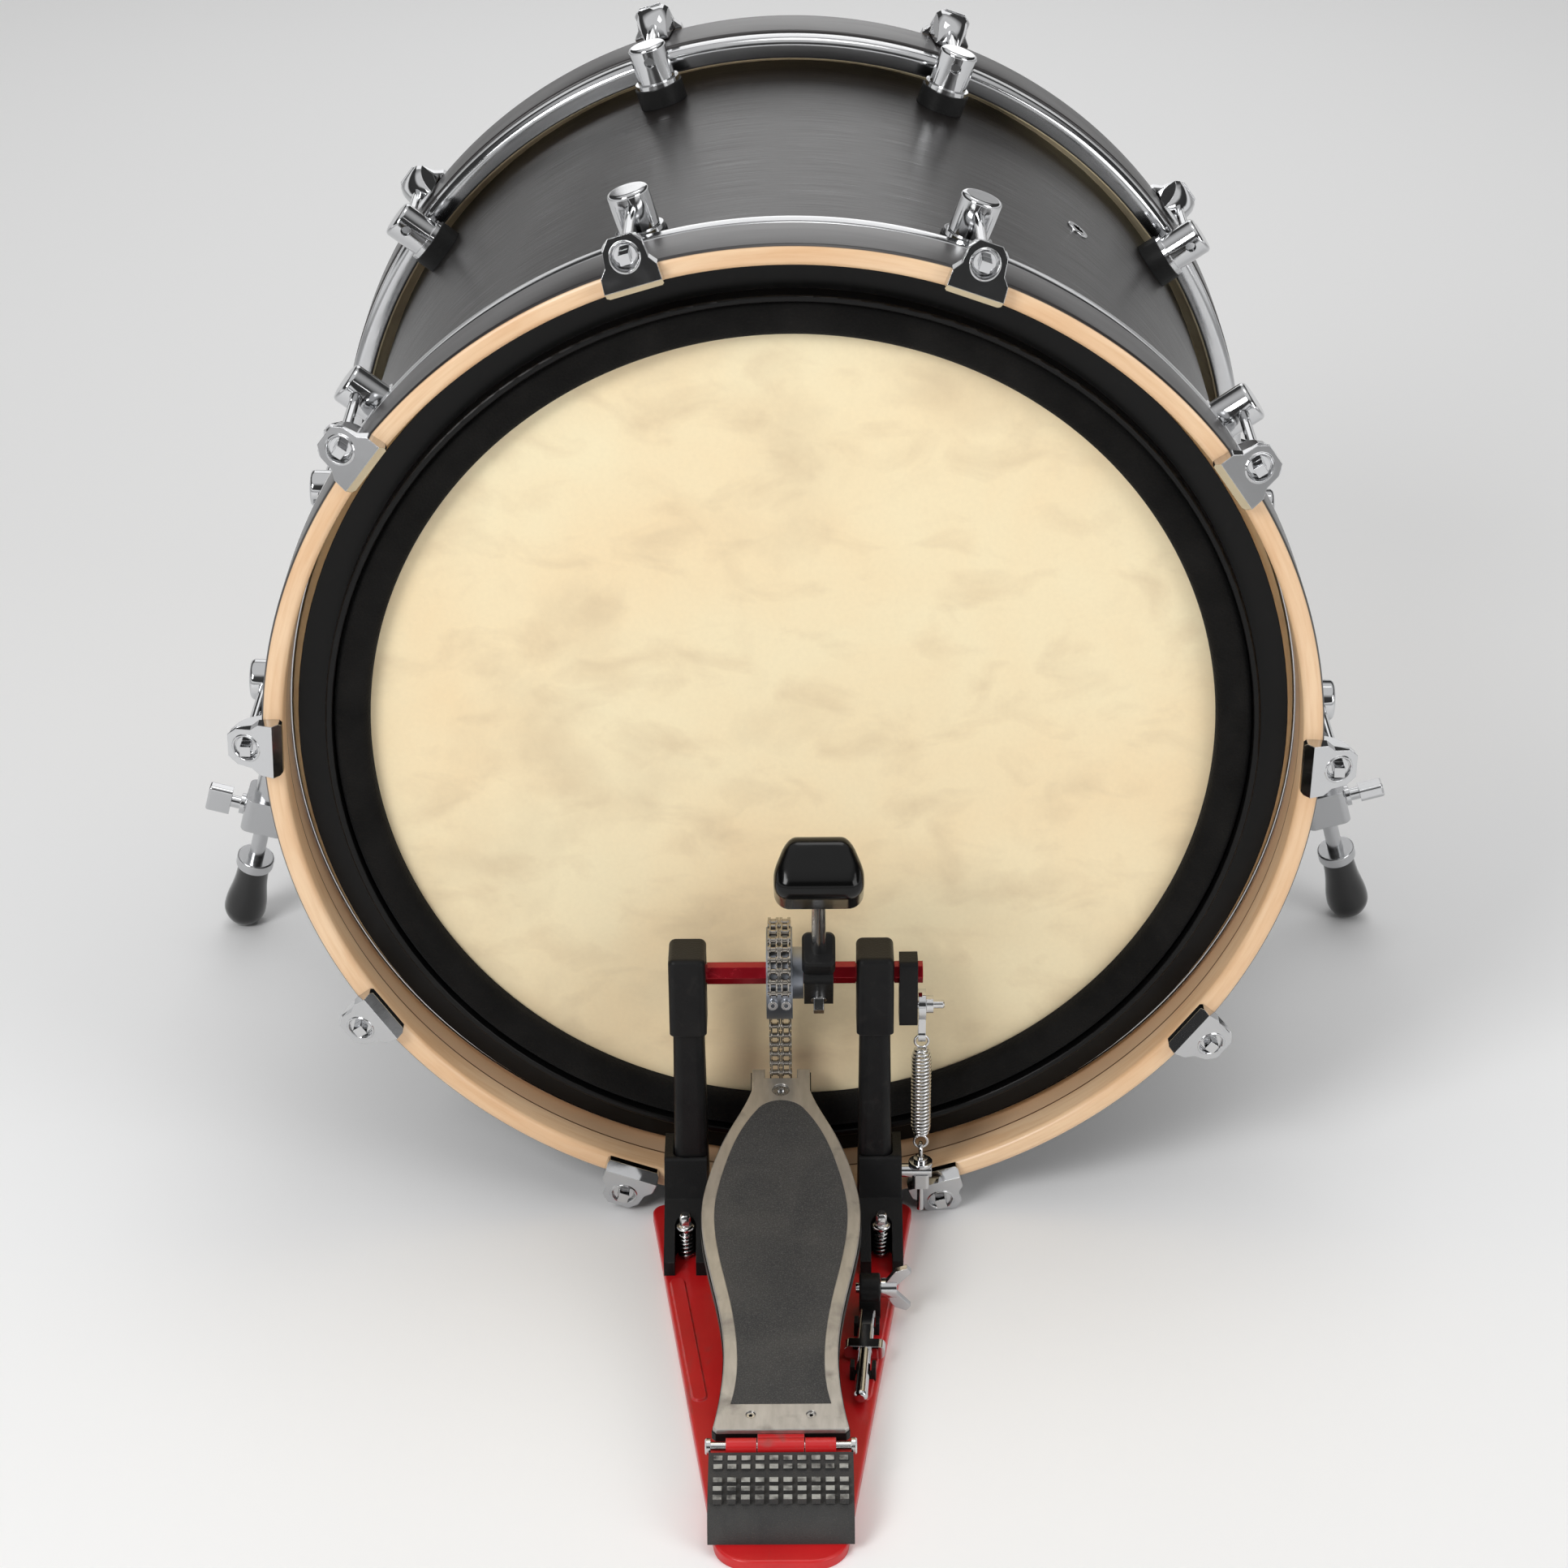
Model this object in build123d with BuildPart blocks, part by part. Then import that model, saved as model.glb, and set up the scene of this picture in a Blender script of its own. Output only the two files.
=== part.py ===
"""Bass drum with its hoop-mounted pedal, as an assembly of separate pieces.

Millimetres, +Z up. The drum lies on its side with its axis along Y: the batter head, which the
player's pedal strikes, faces -Y, and the front head faces +Y. The origin is on the floor, under
the middle of the object's outline.
"""

import os
from math import asin, cos, degrees, radians, sin, sqrt

from build123d import *

# ---------------------------------------------------------------- driving dimensions: drum
floor_clear = 5.0         # floor to the wooden hoops
shell_r = 279.0           # outside of the shell: 22 inch nominal
shell_wall = 8.0
shell_length = 406.0      # 16 inch nominal, bearing edge to bearing edge
bearing_flat = 2.0        # flat left on top of each 45 degree bearing edge
hoop_stand = 21.0         # outside of the wooden hoops, beyond the shell's
hoop_wall = 12.0
hoop_width = 40.0
hoop_setback = 7.0        # hoop's inner edge, back from the bearing edge
hoop_edge = 4.0           # rounding of the hoop's front edges
hoop_back_edge = 1.6
film = 1.0                # thickness of the drum heads
film_clear = 0.2          # room between the heads' skirts and the shell
flesh_hoop_width = 17.0
flesh_hoop_wall = 13.0
flesh_hoop_setin = 0.6    # its outside, in from the wooden hoop's
flesh_hoop_round = 5.0    # rounding of its outside
flesh_hoop_edge = 1.6
skirt_rise = 3.2          # the skirt's end, from the back of the flesh hoop
flange_gap = 5.4          # damping ring's flange, flat on the head, in from the hoop
lip_gap = 22.0            # outside of its raised lip, in from the hoop
lip_wall = 4.0            # the foam begins inside it
lip_depth = 14.0
lip_edge = 1.2
ring_base = 1.5
ring_reach = 6.0          # how far its floor runs under the foam's inner edge
foam_width = 20.6
foam_depth = 11.5
foam_round = 5.0
foam_clear = 0.3

# ---------------------------------------------------------------- driving dimensions: tensioning
lug_count = 10            # on each side
lug_roll = 1.7            # the lugs' ring is turned this far, clockwise for the player
lug_from_edge = 54.0      # lug centre to the bearing edge
lug_r = 12.0
lug_flange_r = 14.0
lug_flange = 3.0
lug_past_rod = 9.0        # outer end of a lug, beyond its tension rod's axis
lug_round = 2.5
isolator_r = 15.0
isolator_height = 12.0
rod_out = 8.0             # tension rod's axis, beyond the wooden hoops
rod_r = 3.0
rod_clear = 0.15
key_square = 6.0          # square head that the drum key turns
key_square_length = 8.0
key_corner = 0.6
rod_flange_r = 6.2
rod_flange = 1.6
bolt_r = 3.0
bolt_clear = 0.3
bolt_head_r = 5.5
bolt_head = 4.0
washer_r = 8.0
washer = 1.6
claw_width = 32.0
claw_nose_width = 13.0
claw_front = 10.5         # how far a claw stands in front of its hoop
claw_depth = 34.0         # along the drum
claw_past_rod = 11.0      # outer end, beyond the rod's axis
claw_bevel = 4.0
recess_r = 7.4            # round pocket for the rod's head
claw_rise = 1.0           # claw's roof above the hoop
claw_tail = 2.0           # thickness of its end over the hoop
claw_bulge_at = 21.0      # where its outside curves most, back from its face
claw_bulge_in = 5.0
claw_waist_at = 6.0       # where it narrows, beyond the hoop
claw_waist = 25.0

vent_angle = 38.5
vent_from_middle = 36.0
vent_r = 4.0
vent_wall = 1.2
vent_flange_r = 7.5
vent_flange = 1.4

# ---------------------------------------------------------------- driving dimensions: spurs
spur_stand = 47.0         # fold pin, out from the shell's side
spur_pivot_y = 80.0       # from the drum's middle, towards the front head
spur_pivot_drop = 96.0    # below the drum axis
spur_splay = 0.26         # outward share of the leg's direction
spur_rake = 0.23          # forward share of the leg's direction
spur_eye_r = 14.0
spur_eye_width = 17.0
spur_tube_r = 10.0
spur_clamp_gap = 30.0     # clamp to the rod's lock nut
spur_tube_bore = 30.0     # bore's length behind the rod's end
spur_clamp_length = 27.0
spur_clamp_size = 29.0
spur_clamp_depth = 24.0
spur_clamp_corner = 5.0
spur_rod_r = 5.2
spur_rod_in = 44.0        # rod's end inside the tube, behind the clamp
spur_rod_past = 22.0      # rod's end beyond its lock nut
spur_tip_r = 3.12
spur_tip = 8.0
spur_tip_taper = 18.0
spur_fit = 0.06           # running fit of rods, pins and screws in their bores
spur_nut_from_foot = 46.7 # along the leg, up from the ball of the foot
spur_nut_thick = 8.0
spur_nut_r = 12.6
spur_nut_round = 1.2
spur_foot_r = 14.2
spur_foot_neck_r = 10.6
spur_foot_swell = 1.2
spur_foot_bore = 31.0
spur_pin_r = 4.0
spur_pin_head_r = 8.0
spur_pin_head = 5.0
spur_pin_round = 1.5
spur_bracket_r = 12.0
spur_base_r = 30.0
spur_base_thick = 7.0
spur_base_sink = 5.0      # base started inside the shell, then cut to it
spur_bracket_flare = 7.0  # degrees of taper towards the shell
spur_pin_depth = 34.0
spur_gap = 0.3            # between parts that turn against each other
tbolt_r = 3.0
tbolt_flange_r = 7.0
tbolt_flange = 3.0
tbolt_neck_r = 4.2
tbolt_neck = 6.4
tbolt_head = 16.0
tbolt_head_width = 19.0
tbolt_head_thick = 9.0
tbolt_corner = 2.5
tbolt_round = 1.5
left_key_turn = 8.0
right_key_turn = 65.0

# ---------------------------------------------------------------- driving dimensions: pedal
pedal_x = -8.8            # the pedal's centre line
base_past_heel = 15.0     # heel end of the base plate, beyond the heel plate's
base_gap = 2.0            # base plate's front end, back from the hoop
base_thick = 6.0
base_heel_width = 66.0
base_front_width = 157.0
base_corner_r = 20.0
base_front_corner_r = 8.0
base_round = 1.5
rib_width = 9.0
rib_height = 1.2
rib_length = 120.0
rib_out = 53.0            # from the pedal's centre line
rib_from_hoop = 141.0
rib_taper = 30.0
lip_width = 56.0          # tongue of the base plate that reaches under the hoop
lip_length = 26.0
lip_root = 10.0
lip_clear = 0.3
hinge_from_hoop = 269.0
hinge_height = 27.0
knuckle_r = 4.5
knuckle_middle = 25.0
knuckle_side = 16.5
knuckle_gap = 0.4
knuckle_cap = 3.0
hinge_pin_r = 2.5
pin_fit = 0.05
heel_plate_width = 77.0
heel_plate_heel_width = 68.0
heel_plate_length = 55.0  # from the hinge
heel_pad_thick = 3.0
heel_step = 0.8           # between the hinge's knuckles and the heel plate
heel_bend = 14.0          # where the heel plate bends down, from its end
heel_bend_drop = 3.0
heel_tip = 5.0
heel_tip_drop = 8.0
heel_pad_lap = 1.0        # pad's end past the plate's
heel_pad_bend = 13.0
heel_pad_tip = 2.5
heel_pad_tip_drop = 7.0
stud_height = 1.2
stud_size = 4.6
stud_pitch = 7.4
stud_depth = 3.68
stud_count = 10
stud_rows = (5.2, 12.5, 23.9, 31.2, 38.5)    # behind the pad's front edge
stud_sink = 0.6
board_slope = 11.7        # degrees, at rest
board_top = 6.2           # footboard's top above the hinge axis, square to the board
board_plate = 3.0
board_frame = 6.0
board_heel = 6.0          # heel end of the board, along it from the hinge axis
board_toe = 288.0
board_toe_width = 35.6
board_waist_width = 63.6
board_wide_width = 91.0
pad_border = 8.0
pad_depth = 1.0
pad_proud = 0.2
plate_inset = 0.6         # top plate's edge, in from its frame's
plate_chamfer = 0.5
toe_screw_r = 4.9
toe_screw_seat_r = 5.2
toe_shank_r = 3.0
toe_shank_clear = 0.1
toe_hex_r = 2.0
board_screw_x = 16.2
board_screw_at = 17.0
board_screw_r = 2.4
board_screw_clear = 0.2
board_hex_r = 1.1
board_screw_sink = 0.9
frame_floor = 2.0         # left under the top plate where the frame is relieved
toe_boss_length = 16.0
toe_boss_from_notch = 9.0
toe_boss_corner = 3.0
toe_boss_drop = 4.0
notch_width = 19.0
notch_depth = 7.5
frame_notch_depth = 13.0

post_from_hoop = 18.0
post_spacing = 108.0
post_width = 17.8
post_depth = 22.0
housing_width = 21.5
housing_depth = 30.0
housing_height = 49.5
post_corner = 5.0
post_flare = 3.0          # post's foot, wider than its neck
post_foot_clear = 0.2
housing_corner = 4.0
housing_round = 3.5
bearing_play = 2.0        # seat's depth beyond the bearing
bore_clear = 1.2
housing_web = 4.0         # left behind the blind bore
shaft_height = 174.0
shaft_below_top = 16.0
shaft_across_flats = 11.0
bearing_r = 11.0
bearing_width = 8.0
pitch_r = 29.5            # chain's pitch circle on the sprocket
chain_thick = 6.0
chain_width = 15.0
chain_gap = 0.3
chain_end_angle = 185.0   # end of its arc on the wheel, from the drum's side
wheel_slot_height = 58.0
wheel_slot_drop = 25.0
wheel_slot_clear = 1.6
hex_fit = 0.02
shaft_gap = 0.4
shaft_past = 3.0          # shaft's end beyond the rocker
swing = 50.5              # beater's swing from rest to the drum head, in degrees
sprocket_boss_r = 15.0
end_screw_r = 2.8
end_screw_x = 3.8
end_screw_drop = 6.0
end_screw_seat = 3.0
end_screw_reach = 4.4
end_hex_r = 1.3
hub_screw_r = 2.5
hub_screw_clear = 0.1
hub_screw_drop = 3.0
hub_screw_flange_r = 4.6
hub_screw_flange = 1.4
hub_screw_square = 6.0
hub_screw_head = 7.0
hub_screw_gap = 2.0
beater_x = 13.7
beater_lean = 40.0        # degrees back from upright, at rest
beater_length = 142.0     # shaft axis to the middle of the beater
beater_width = 49.0
beater_back = 13.0        # back of the beater, behind the rod
beater_tall = 44.0
beater_clear = 2.3        # left between the beater and the drum head at the end of its swing
beater_round = 4.0
beater_foot_in = 6.0      # its outline: lower corners
beater_foot_up = 7.0
beater_top_in = 5.0       # and its tapered top
beater_top_down = 18.0
beater_rod_r = 4.0
beater_rod_past = 7.5     # rod's end beyond the middle of the beater
rod_fit = 0.05
hub_width = 16.8
hub_depth = 29.0
hub_below = 17.0
hub_above = 24.0
hub_socket = 14.0
hub_corner = 5.0
socket_gap = 0.5
lock_width = 19.0
lock_depth = 21.0
lock_height = 15.0
lock_gap = 0.2
lock_corner = 4.0
lock_chamfer = 1.5
rocker_x = 65.5
rocker_width = 10.6
rocker_depth = 17.0
rocker_above = 10.0
rocker_below = 32.0
rocker_pin_drop = 21.5
rocker_pin_r = 2.5
rocker_pin_end = 86.5
rocker_corner = 3.0
rocker_pin_seat = 6.0
rocker_collar_r = 5.2
rocker_collar = 4.0
rocker_collar_gap = 0.3
pin_chamfer = 0.8
spring_x = 73.5
spring_r = 6.0
wire_r = 0.8
loop_r = 4.0
link_ring_r = 9.0
link_thick = 4.4
link_bar = 7.0
link_eye_r = 4.4
link_eye_bore_r = 2.3
link_eye_up = 0.6
spring_top = 123.0
spring_bottom = 64.0
arm_height = 39.0
arm_r = 4.2
arm_end = 80.0
arm_block = 10.0
arm_block_corner = 2.0
arm_block_below = 6.0
arm_block_height = 9.2
eye_wire_r = 1.2
stud_r = 2.0
stud_clear = 0.1
stud_foot = 12.0          # lower end of the tensioner's stud
eye_clear = 0.1
tension_nut_r = 7.2
tension_nut_height = 2.6
tension_nut_collar_r = 4.2
tension_nut_gap = 0.2
tension_nut_round = 0.8
jaw_width = 28.0
jaw_pivot_height = 15.0
jaw_reach = 22.0          # over the hoop
jaw_thick = 8.0
jaw_pivot_from_hoop = 24.0
jaw_knuckle_r = 7.0
jaw_lower = 6.5           # jaw's flanks at its pivot, below and above it
jaw_upper = 6.9
jaw_drop = 5.0
jaw_face_gap = 0.6
jaw_hoop_gap = 0.3
jaw_taper = 3.0
jaw_pin_r = 3.0
jaw_pin_past = 6.5
bracket_gap = 0.4
bracket_wall = 5.0
wing_x = 47.5             # where the wing screw leaves its boss
wing_from_hoop = 117.0
wing_height = 23.5
wing_span = 34.0
wing_screw_r = 3.0
wing_screw_depth = 14.0
wing_gap = 0.3
wing_hub_r = 5.6
wing_hub = 9.0
wing_turn = 12.0
wing_wall = 3.4
wing_root = 3.0
clamp_boss_r = 8.5
clamp_boss_width = 14.0
clamp_boss_depth = 12.0
clamp_boss_round = 1.2
key_from_hoop = 127.0
key_length = 80.0
key_bar = 23.0
key_out = 49.0            # from the pedal's centre line
key_lean = 4.0
key_rise = 6.2            # its axis above the base plate
key_width = 9.0
key_thick = 8.0
key_edge = 2.0
key_bore = 26.0
key_socket_end = 29.0
key_bar_end = 37.0
key_bar_corner = 3.5
key_clear = 0.1
key_tip_round = 2.5
clip_starts = (6.0, 48.0)
clip_length = 7.0
clip_width = 13.0
clip_wall = 2.4
clip_height = 9.2
clip_out = 6.0
clip_middle_drop = 1.6
clip_gap = 0.1
anchor_width = 25.0
anchor_past_post = 60.0   # player's end of the anchor blocks, out from the posts
anchor_height = 52.0
anchor_offset = 3.2       # block's middle, outwards from its post's
anchor_toe = 9.0
anchor_step = 22.0
anchor_reach = 14.0
anchor_wall = 4.0
anchor_round = 3.0
anchor_screw_from_post = 40.0
anchor_screw_r = 3.2
anchor_screw_length = 27.0
anchor_pocket_r = 6.2
anchor_pocket_reach = 40.0
anchor_turns = 6
anchor_turn_pitch = 2.6
anchor_turn_start = 1.5
anchor_turn_r = 4.6
anchor_turn_thick = 1.4
anchor_nut_at = 19.0
anchor_nut_r = 5.6
anchor_nut = 3.0
anchor_square = 6.4
anchor_square_corner = 0.8
anchor_square_height = 8.0

# ---------------------------------------------------------------- derived places
half_length = shell_length / 2
hoop_back = half_length - hoop_setback
hoop_front = hoop_back + hoop_width
hoop_r = shell_r + hoop_stand
hoop_inner_r = hoop_r - hoop_wall
axis_height = hoop_r + floor_clear
rod_radius_at = hoop_r + rod_out
lug_reach = rod_radius_at + lug_past_rod
claw_reach = rod_radius_at + claw_past_rod
flange_r = hoop_inner_r - flange_gap
lip_r = hoop_inner_r - lip_gap
ring_step_r = lip_r - lip_wall
foam_r = ring_step_r - foam_width
post_from_middle = hoop_front + post_from_hoop
anchor_foot = post_from_middle + anchor_past_post
anchor_screw_from_middle = post_from_middle + anchor_screw_from_post
hinge_from_middle = hoop_front + hinge_from_hoop
heel_plate_end = hinge_from_middle + heel_plate_length
heel_reach = heel_plate_end + base_past_heel
front_reach = hoop_front + claw_front
drum_y = (heel_reach - front_reach) / 2
shell_inner_r = shell_r - shell_wall
lug_y = half_length - lug_from_edge
lug_seat = shell_r + isolator_height

drum_axis = Axis((0, drum_y, axis_height), (0, 1, 0))


def row_y(from_middle):
    """Y of a place given by its distance from the drum's middle, on the player's side."""
    return drum_y - from_middle


def drum_plane(side):
    """Half section through the drum's top: local x outwards from the axis, local y along it."""
    return Plane(origin=(0, drum_y, axis_height), x_dir=(0, 0, 1), z_dir=(-side, 0, 0))


def station(angle, side):
    """Frame of one tension rod: local x outwards, local y along the drum, away from its middle."""
    turn = radians(angle)
    return Plane(
        origin=(0, drum_y, axis_height),
        x_dir=(sin(turn), 0, cos(turn)),
        z_dir=(-side * cos(turn), 0, side * sin(turn)),
    )


lug_angles = [lug_roll + (k + 0.5) * 360 / lug_count for k in range(lug_count)]
batter_stations = [station(angle, -1) for angle in lug_angles]
front_stations = [station(angle, 1) for angle in lug_angles]
all_stations = batter_stations + front_stations

os.makedirs("parts", exist_ok=True)


def save(piece, name):
    """Label a finished piece and write it as its own STEP file."""
    piece.part.label = name
    export_step(piece.part, f"parts/{name}.step")


def save_group(pieces, name):
    """Write several separate pieces of one kind as a single node."""
    with BuildPart() as group:
        for piece in pieces:
            add(piece.part)
    save(group, name)


# ---------------------------------------------------------------- shell
with BuildPart() as shell:
    edge_drop = shell_wall - bearing_flat
    with BuildSketch(drum_plane(1)):
        with BuildLine():
            Polyline(
                (shell_inner_r, -half_length + edge_drop),
                (shell_r - bearing_flat, -half_length),
                (shell_r, -half_length),
                (shell_r, half_length),
                (shell_r - bearing_flat, half_length),
                (shell_inner_r, half_length - edge_drop),
                close=True,
            )
        make_face()
    revolve(axis=drum_axis)
    for place in all_stations:
        bolt_plane = Plane(place.from_local_coords((0, lug_y, 0)), x_dir=(0, 1, 0), z_dir=place.x_dir)
        with BuildSketch(bolt_plane):
            Circle(bolt_r + bolt_clear)
        extrude(amount=shell_r + 1, mode=Mode.SUBTRACT)
    vent_out = station(vent_angle, 1).x_dir
    vent_centre = (0, drum_y + vent_from_middle, axis_height)
    with BuildSketch(Plane(vent_centre, x_dir=(0, 1, 0), z_dir=vent_out)):
        Circle(vent_r + vent_wall + bolt_clear)
    extrude(amount=shell_r + 1, mode=Mode.SUBTRACT)
save(shell, "shell")

with BuildPart() as vent_grommet:
    with BuildSketch(Plane(vent_centre, x_dir=(0, 1, 0), z_dir=vent_out).offset(shell_inner_r - 1)):
        Circle(vent_r + vent_wall)
    extrude(amount=shell_wall + 1)
    with BuildSketch(Plane(vent_centre, x_dir=(0, 1, 0), z_dir=vent_out).offset(shell_r)):
        Circle(vent_flange_r)
    extrude(amount=vent_flange)
    fillet(vent_grommet.faces().sort_by(Axis(vent_centre, vent_out))[-1].edges(), vent_flange * 0.6)
    with BuildSketch(Plane(vent_centre, x_dir=(0, 1, 0), z_dir=vent_out).offset(shell_inner_r - 2)):
        Circle(vent_r)
    extrude(amount=shell_wall + vent_flange + 3, mode=Mode.SUBTRACT)
save(vent_grommet, "vent_grommet")

# ---------------------------------------------------------------- hoops and heads, one of each a side
skirt_r = shell_r + film_clear
flesh_inner_r = hoop_r - flesh_hoop_setin - flesh_hoop_wall
flesh_hoops = []
for side, name in ((-1, "batter"), (1, "front")):
    with BuildPart() as hoop:
        with BuildSketch(drum_plane(side)) as hoop_section:
            with BuildLine():
                Polyline(
                    (hoop_inner_r, hoop_back),
                    (hoop_r, hoop_back),
                    (hoop_r, hoop_front),
                    (hoop_inner_r, hoop_front),
                    close=True,
                )
            make_face()
            fillet(hoop_section.vertices().sort_by(Axis.Y)[2:], hoop_edge)
            fillet(hoop_section.vertices().sort_by(Axis.Y)[:2], hoop_back_edge)
        revolve(axis=drum_axis)
    save(hoop, f"{name}_hoop")

    with BuildPart() as flesh_hoop:
        with BuildSketch(drum_plane(side)) as flesh_section:
            with BuildLine():
                Polyline(
                    (flesh_inner_r, hoop_back - flesh_hoop_width),
                    (flesh_inner_r + flesh_hoop_wall, hoop_back - flesh_hoop_width),
                    (flesh_inner_r + flesh_hoop_wall, hoop_back),
                    (flesh_inner_r, hoop_back),
                    close=True,
                )
            make_face()
            fillet(flesh_section.vertices().sort_by(Axis.X)[2:], flesh_hoop_round)
            fillet(flesh_section.vertices().sort_by(Axis.X)[:2], flesh_hoop_edge)
        revolve(axis=drum_axis)
    flesh_hoops.append(flesh_hoop)

    with BuildPart() as head:
        skirt_low = hoop_back - flesh_hoop_width + skirt_rise
        with BuildSketch(drum_plane(side)):
            with BuildLine():
                Polyline(
                    (0, half_length),
                    (skirt_r, half_length),
                    (flesh_inner_r - film, hoop_back),
                    (flesh_inner_r - film, skirt_low),
                    (flesh_inner_r, skirt_low),
                    (flesh_inner_r, hoop_back + film),
                    (skirt_r + film, half_length + film),
                    (0, half_length + film),
                    close=True,
                )
            make_face()
        revolve(axis=drum_axis)
    save(head, f"{name}_head")
save_group(flesh_hoops, "flesh_hoops")

# ---------------------------------------------------------------- damping ring on the batter head
ring_seat = half_length + film
with BuildPart() as damping_ring:
    with BuildSketch(drum_plane(-1)) as ring_section:
        with BuildLine():
            Polyline(
                (foam_r + ring_reach, ring_seat),
                (flange_r, ring_seat),
                (flange_r, ring_seat + ring_base),
                (lip_r, ring_seat + ring_base),
                (lip_r, ring_seat + lip_depth),
                (ring_step_r, ring_seat + lip_depth),
                (ring_step_r, ring_seat + ring_base),
                (foam_r + ring_reach, ring_seat + ring_base),
                close=True,
            )
        make_face()
        fillet(ring_section.vertices().sort_by(Axis.Y)[-2:], lip_edge)
    revolve(axis=drum_axis)
save(damping_ring, "damping_ring")

with BuildPart() as damping_foam:
    with BuildSketch(drum_plane(-1)) as foam_section:
        with BuildLine():
            Polyline(
                (foam_r, ring_seat + ring_base),
                (ring_step_r - foam_clear, ring_seat + ring_base),
                (ring_step_r - foam_clear, ring_seat + ring_base + foam_depth),
                (foam_r, ring_seat + ring_base + foam_depth),
                close=True,
            )
        make_face()
        fillet(foam_section.vertices().sort_by(Axis.Y)[-2:], foam_round)
    revolve(axis=drum_axis)
save(damping_foam, "damping_foam")

# ---------------------------------------------------------------- one claw, rod and lug, at a station
claw_face = hoop_front + claw_front
with BuildPart() as claw:
    with BuildSketch(Plane.XY):
        with BuildLine():
            Polyline(
                (hoop_inner_r - 0.5, hoop_front),
                (hoop_inner_r - 0.5, claw_face - claw_bevel),
                (hoop_inner_r + claw_bevel, claw_face),
                (claw_reach - claw_bevel / 2, claw_face),
                (claw_reach, claw_face - claw_bevel / 2),
            )
            ThreePointArc(
                (claw_reach, claw_face - claw_bevel / 2),
                (claw_reach - claw_bulge_in, claw_face - claw_bulge_at),
                (hoop_r + claw_rise + claw_tail, claw_face - claw_depth),
            )
            Polyline(
                (hoop_r + claw_rise + claw_tail, claw_face - claw_depth),
                (hoop_r + claw_rise, claw_face - claw_depth),
                (hoop_r + claw_rise, hoop_front),
                (hoop_inner_r - 0.5, hoop_front),
            )
        make_face()
    extrude(amount=claw_width / 2, both=True)
    with BuildSketch(Plane.XZ):
        with BuildLine():
            Polyline(
                (hoop_inner_r - 0.5, -claw_width / 2),
                (hoop_r - 1, -claw_width / 2),
                (hoop_r + claw_waist_at, -claw_waist / 2),
                (claw_reach, -claw_nose_width / 2),
                (claw_reach, claw_nose_width / 2),
                (hoop_r + claw_waist_at, claw_waist / 2),
                (hoop_r - 1, claw_width / 2),
                (hoop_inner_r - 0.5, claw_width / 2),
                close=True,
            )
        make_face()
    extrude(amount=-claw_face - 1, mode=Mode.INTERSECT)
    with BuildSketch(Plane.XZ.offset(-claw_face)):
        with Locations((rod_radius_at, 0)):
            Circle(recess_r)
    extrude(amount=claw_front, mode=Mode.SUBTRACT)
    with BuildSketch(Plane.XZ.offset(-claw_face)):
        with Locations((rod_radius_at, 0)):
            Circle(rod_r + rod_clear)
    extrude(amount=claw_depth + 1, mode=Mode.SUBTRACT)

rod_end = lug_y - lug_r + 3.0
with BuildPart() as rod:
    with BuildSketch(Plane.XZ.offset(-hoop_front)):
        with Locations((rod_radius_at, 0)):
            Circle(rod_r)
    extrude(amount=hoop_front - rod_end)
    with BuildSketch(Plane.XZ.offset(-hoop_front)):
        with Locations((rod_radius_at, 0)):
            Circle(rod_flange_r)
    extrude(amount=-rod_flange)
    with BuildSketch(Plane.XZ.offset(-hoop_front - rod_flange)):
        with Locations((rod_radius_at, 0)):
            RectangleRounded(key_square, key_square, key_corner)
    extrude(amount=-key_square_length)

with BuildPart() as lug:
    with BuildSketch(Plane.YZ.offset(lug_seat)):
        with Locations((lug_y, 0)):
            Circle(lug_flange_r)
    extrude(amount=lug_flange)
    with BuildSketch(Plane.YZ.offset(lug_seat + lug_flange)):
        with Locations((lug_y, 0)):
            Circle(lug_r)
    extrude(amount=lug_reach - lug_seat - lug_flange)
    fillet(lug.faces().sort_by(Axis.X)[-1].edges(), lug_round)
    with BuildSketch(Plane.XZ.offset(-lug_y)):
        with Locations((rod_radius_at, 0)):
            Circle(rod_r + rod_clear)
    extrude(amount=lug_flange_r + 1, both=True, mode=Mode.SUBTRACT)
    with BuildSketch(Plane.YZ.offset(lug_seat)):
        with Locations((lug_y, 0)):
            Circle(bolt_r + rod_clear)
    extrude(amount=rod_radius_at - lug_seat - rod_r - 2, mode=Mode.SUBTRACT)

with BuildPart() as isolator:
    with BuildSketch(Plane.YZ.offset(lug_seat)):
        with Locations((lug_y, 0)):
            Circle(isolator_r)
            Circle(bolt_r + bolt_clear, mode=Mode.SUBTRACT)
    extrude(amount=-isolator_height - 1)
    with BuildSketch(Plane.XZ.offset(-lug_y)):
        Circle(shell_r)
    extrude(amount=2 * isolator_r, both=True, mode=Mode.SUBTRACT)

washer_top = sqrt(shell_inner_r**2 - washer_r**2)
with BuildPart() as lug_bolt:
    with BuildSketch(Plane.YZ.offset(washer_top)):
        with Locations((lug_y, 0)):
            Circle(washer_r)
    extrude(amount=-washer)
    with BuildSketch(Plane.YZ.offset(washer_top - washer)):
        with Locations((lug_y, 0)):
            RegularPolygon(bolt_head_r, 6)
    extrude(amount=-bolt_head)
    with BuildSketch(Plane.YZ.offset(washer_top)):
        with Locations((lug_y, 0)):
            Circle(bolt_r)
    extrude(amount=rod_radius_at - rod_r - 4 - washer_top)

for piece, stations, name in (
    (claw, all_stations, "claws"),
    (rod, all_stations, "tension_rods"),
    (lug, all_stations, "lugs"),
    (isolator, all_stations, "lug_isolators"),
    (lug_bolt, all_stations, "lug_bolts"),
):
    with BuildPart() as ring_of_pieces:
        with Locations(*stations):
            add(piece.part)
    save(ring_of_pieces, name)

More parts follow.
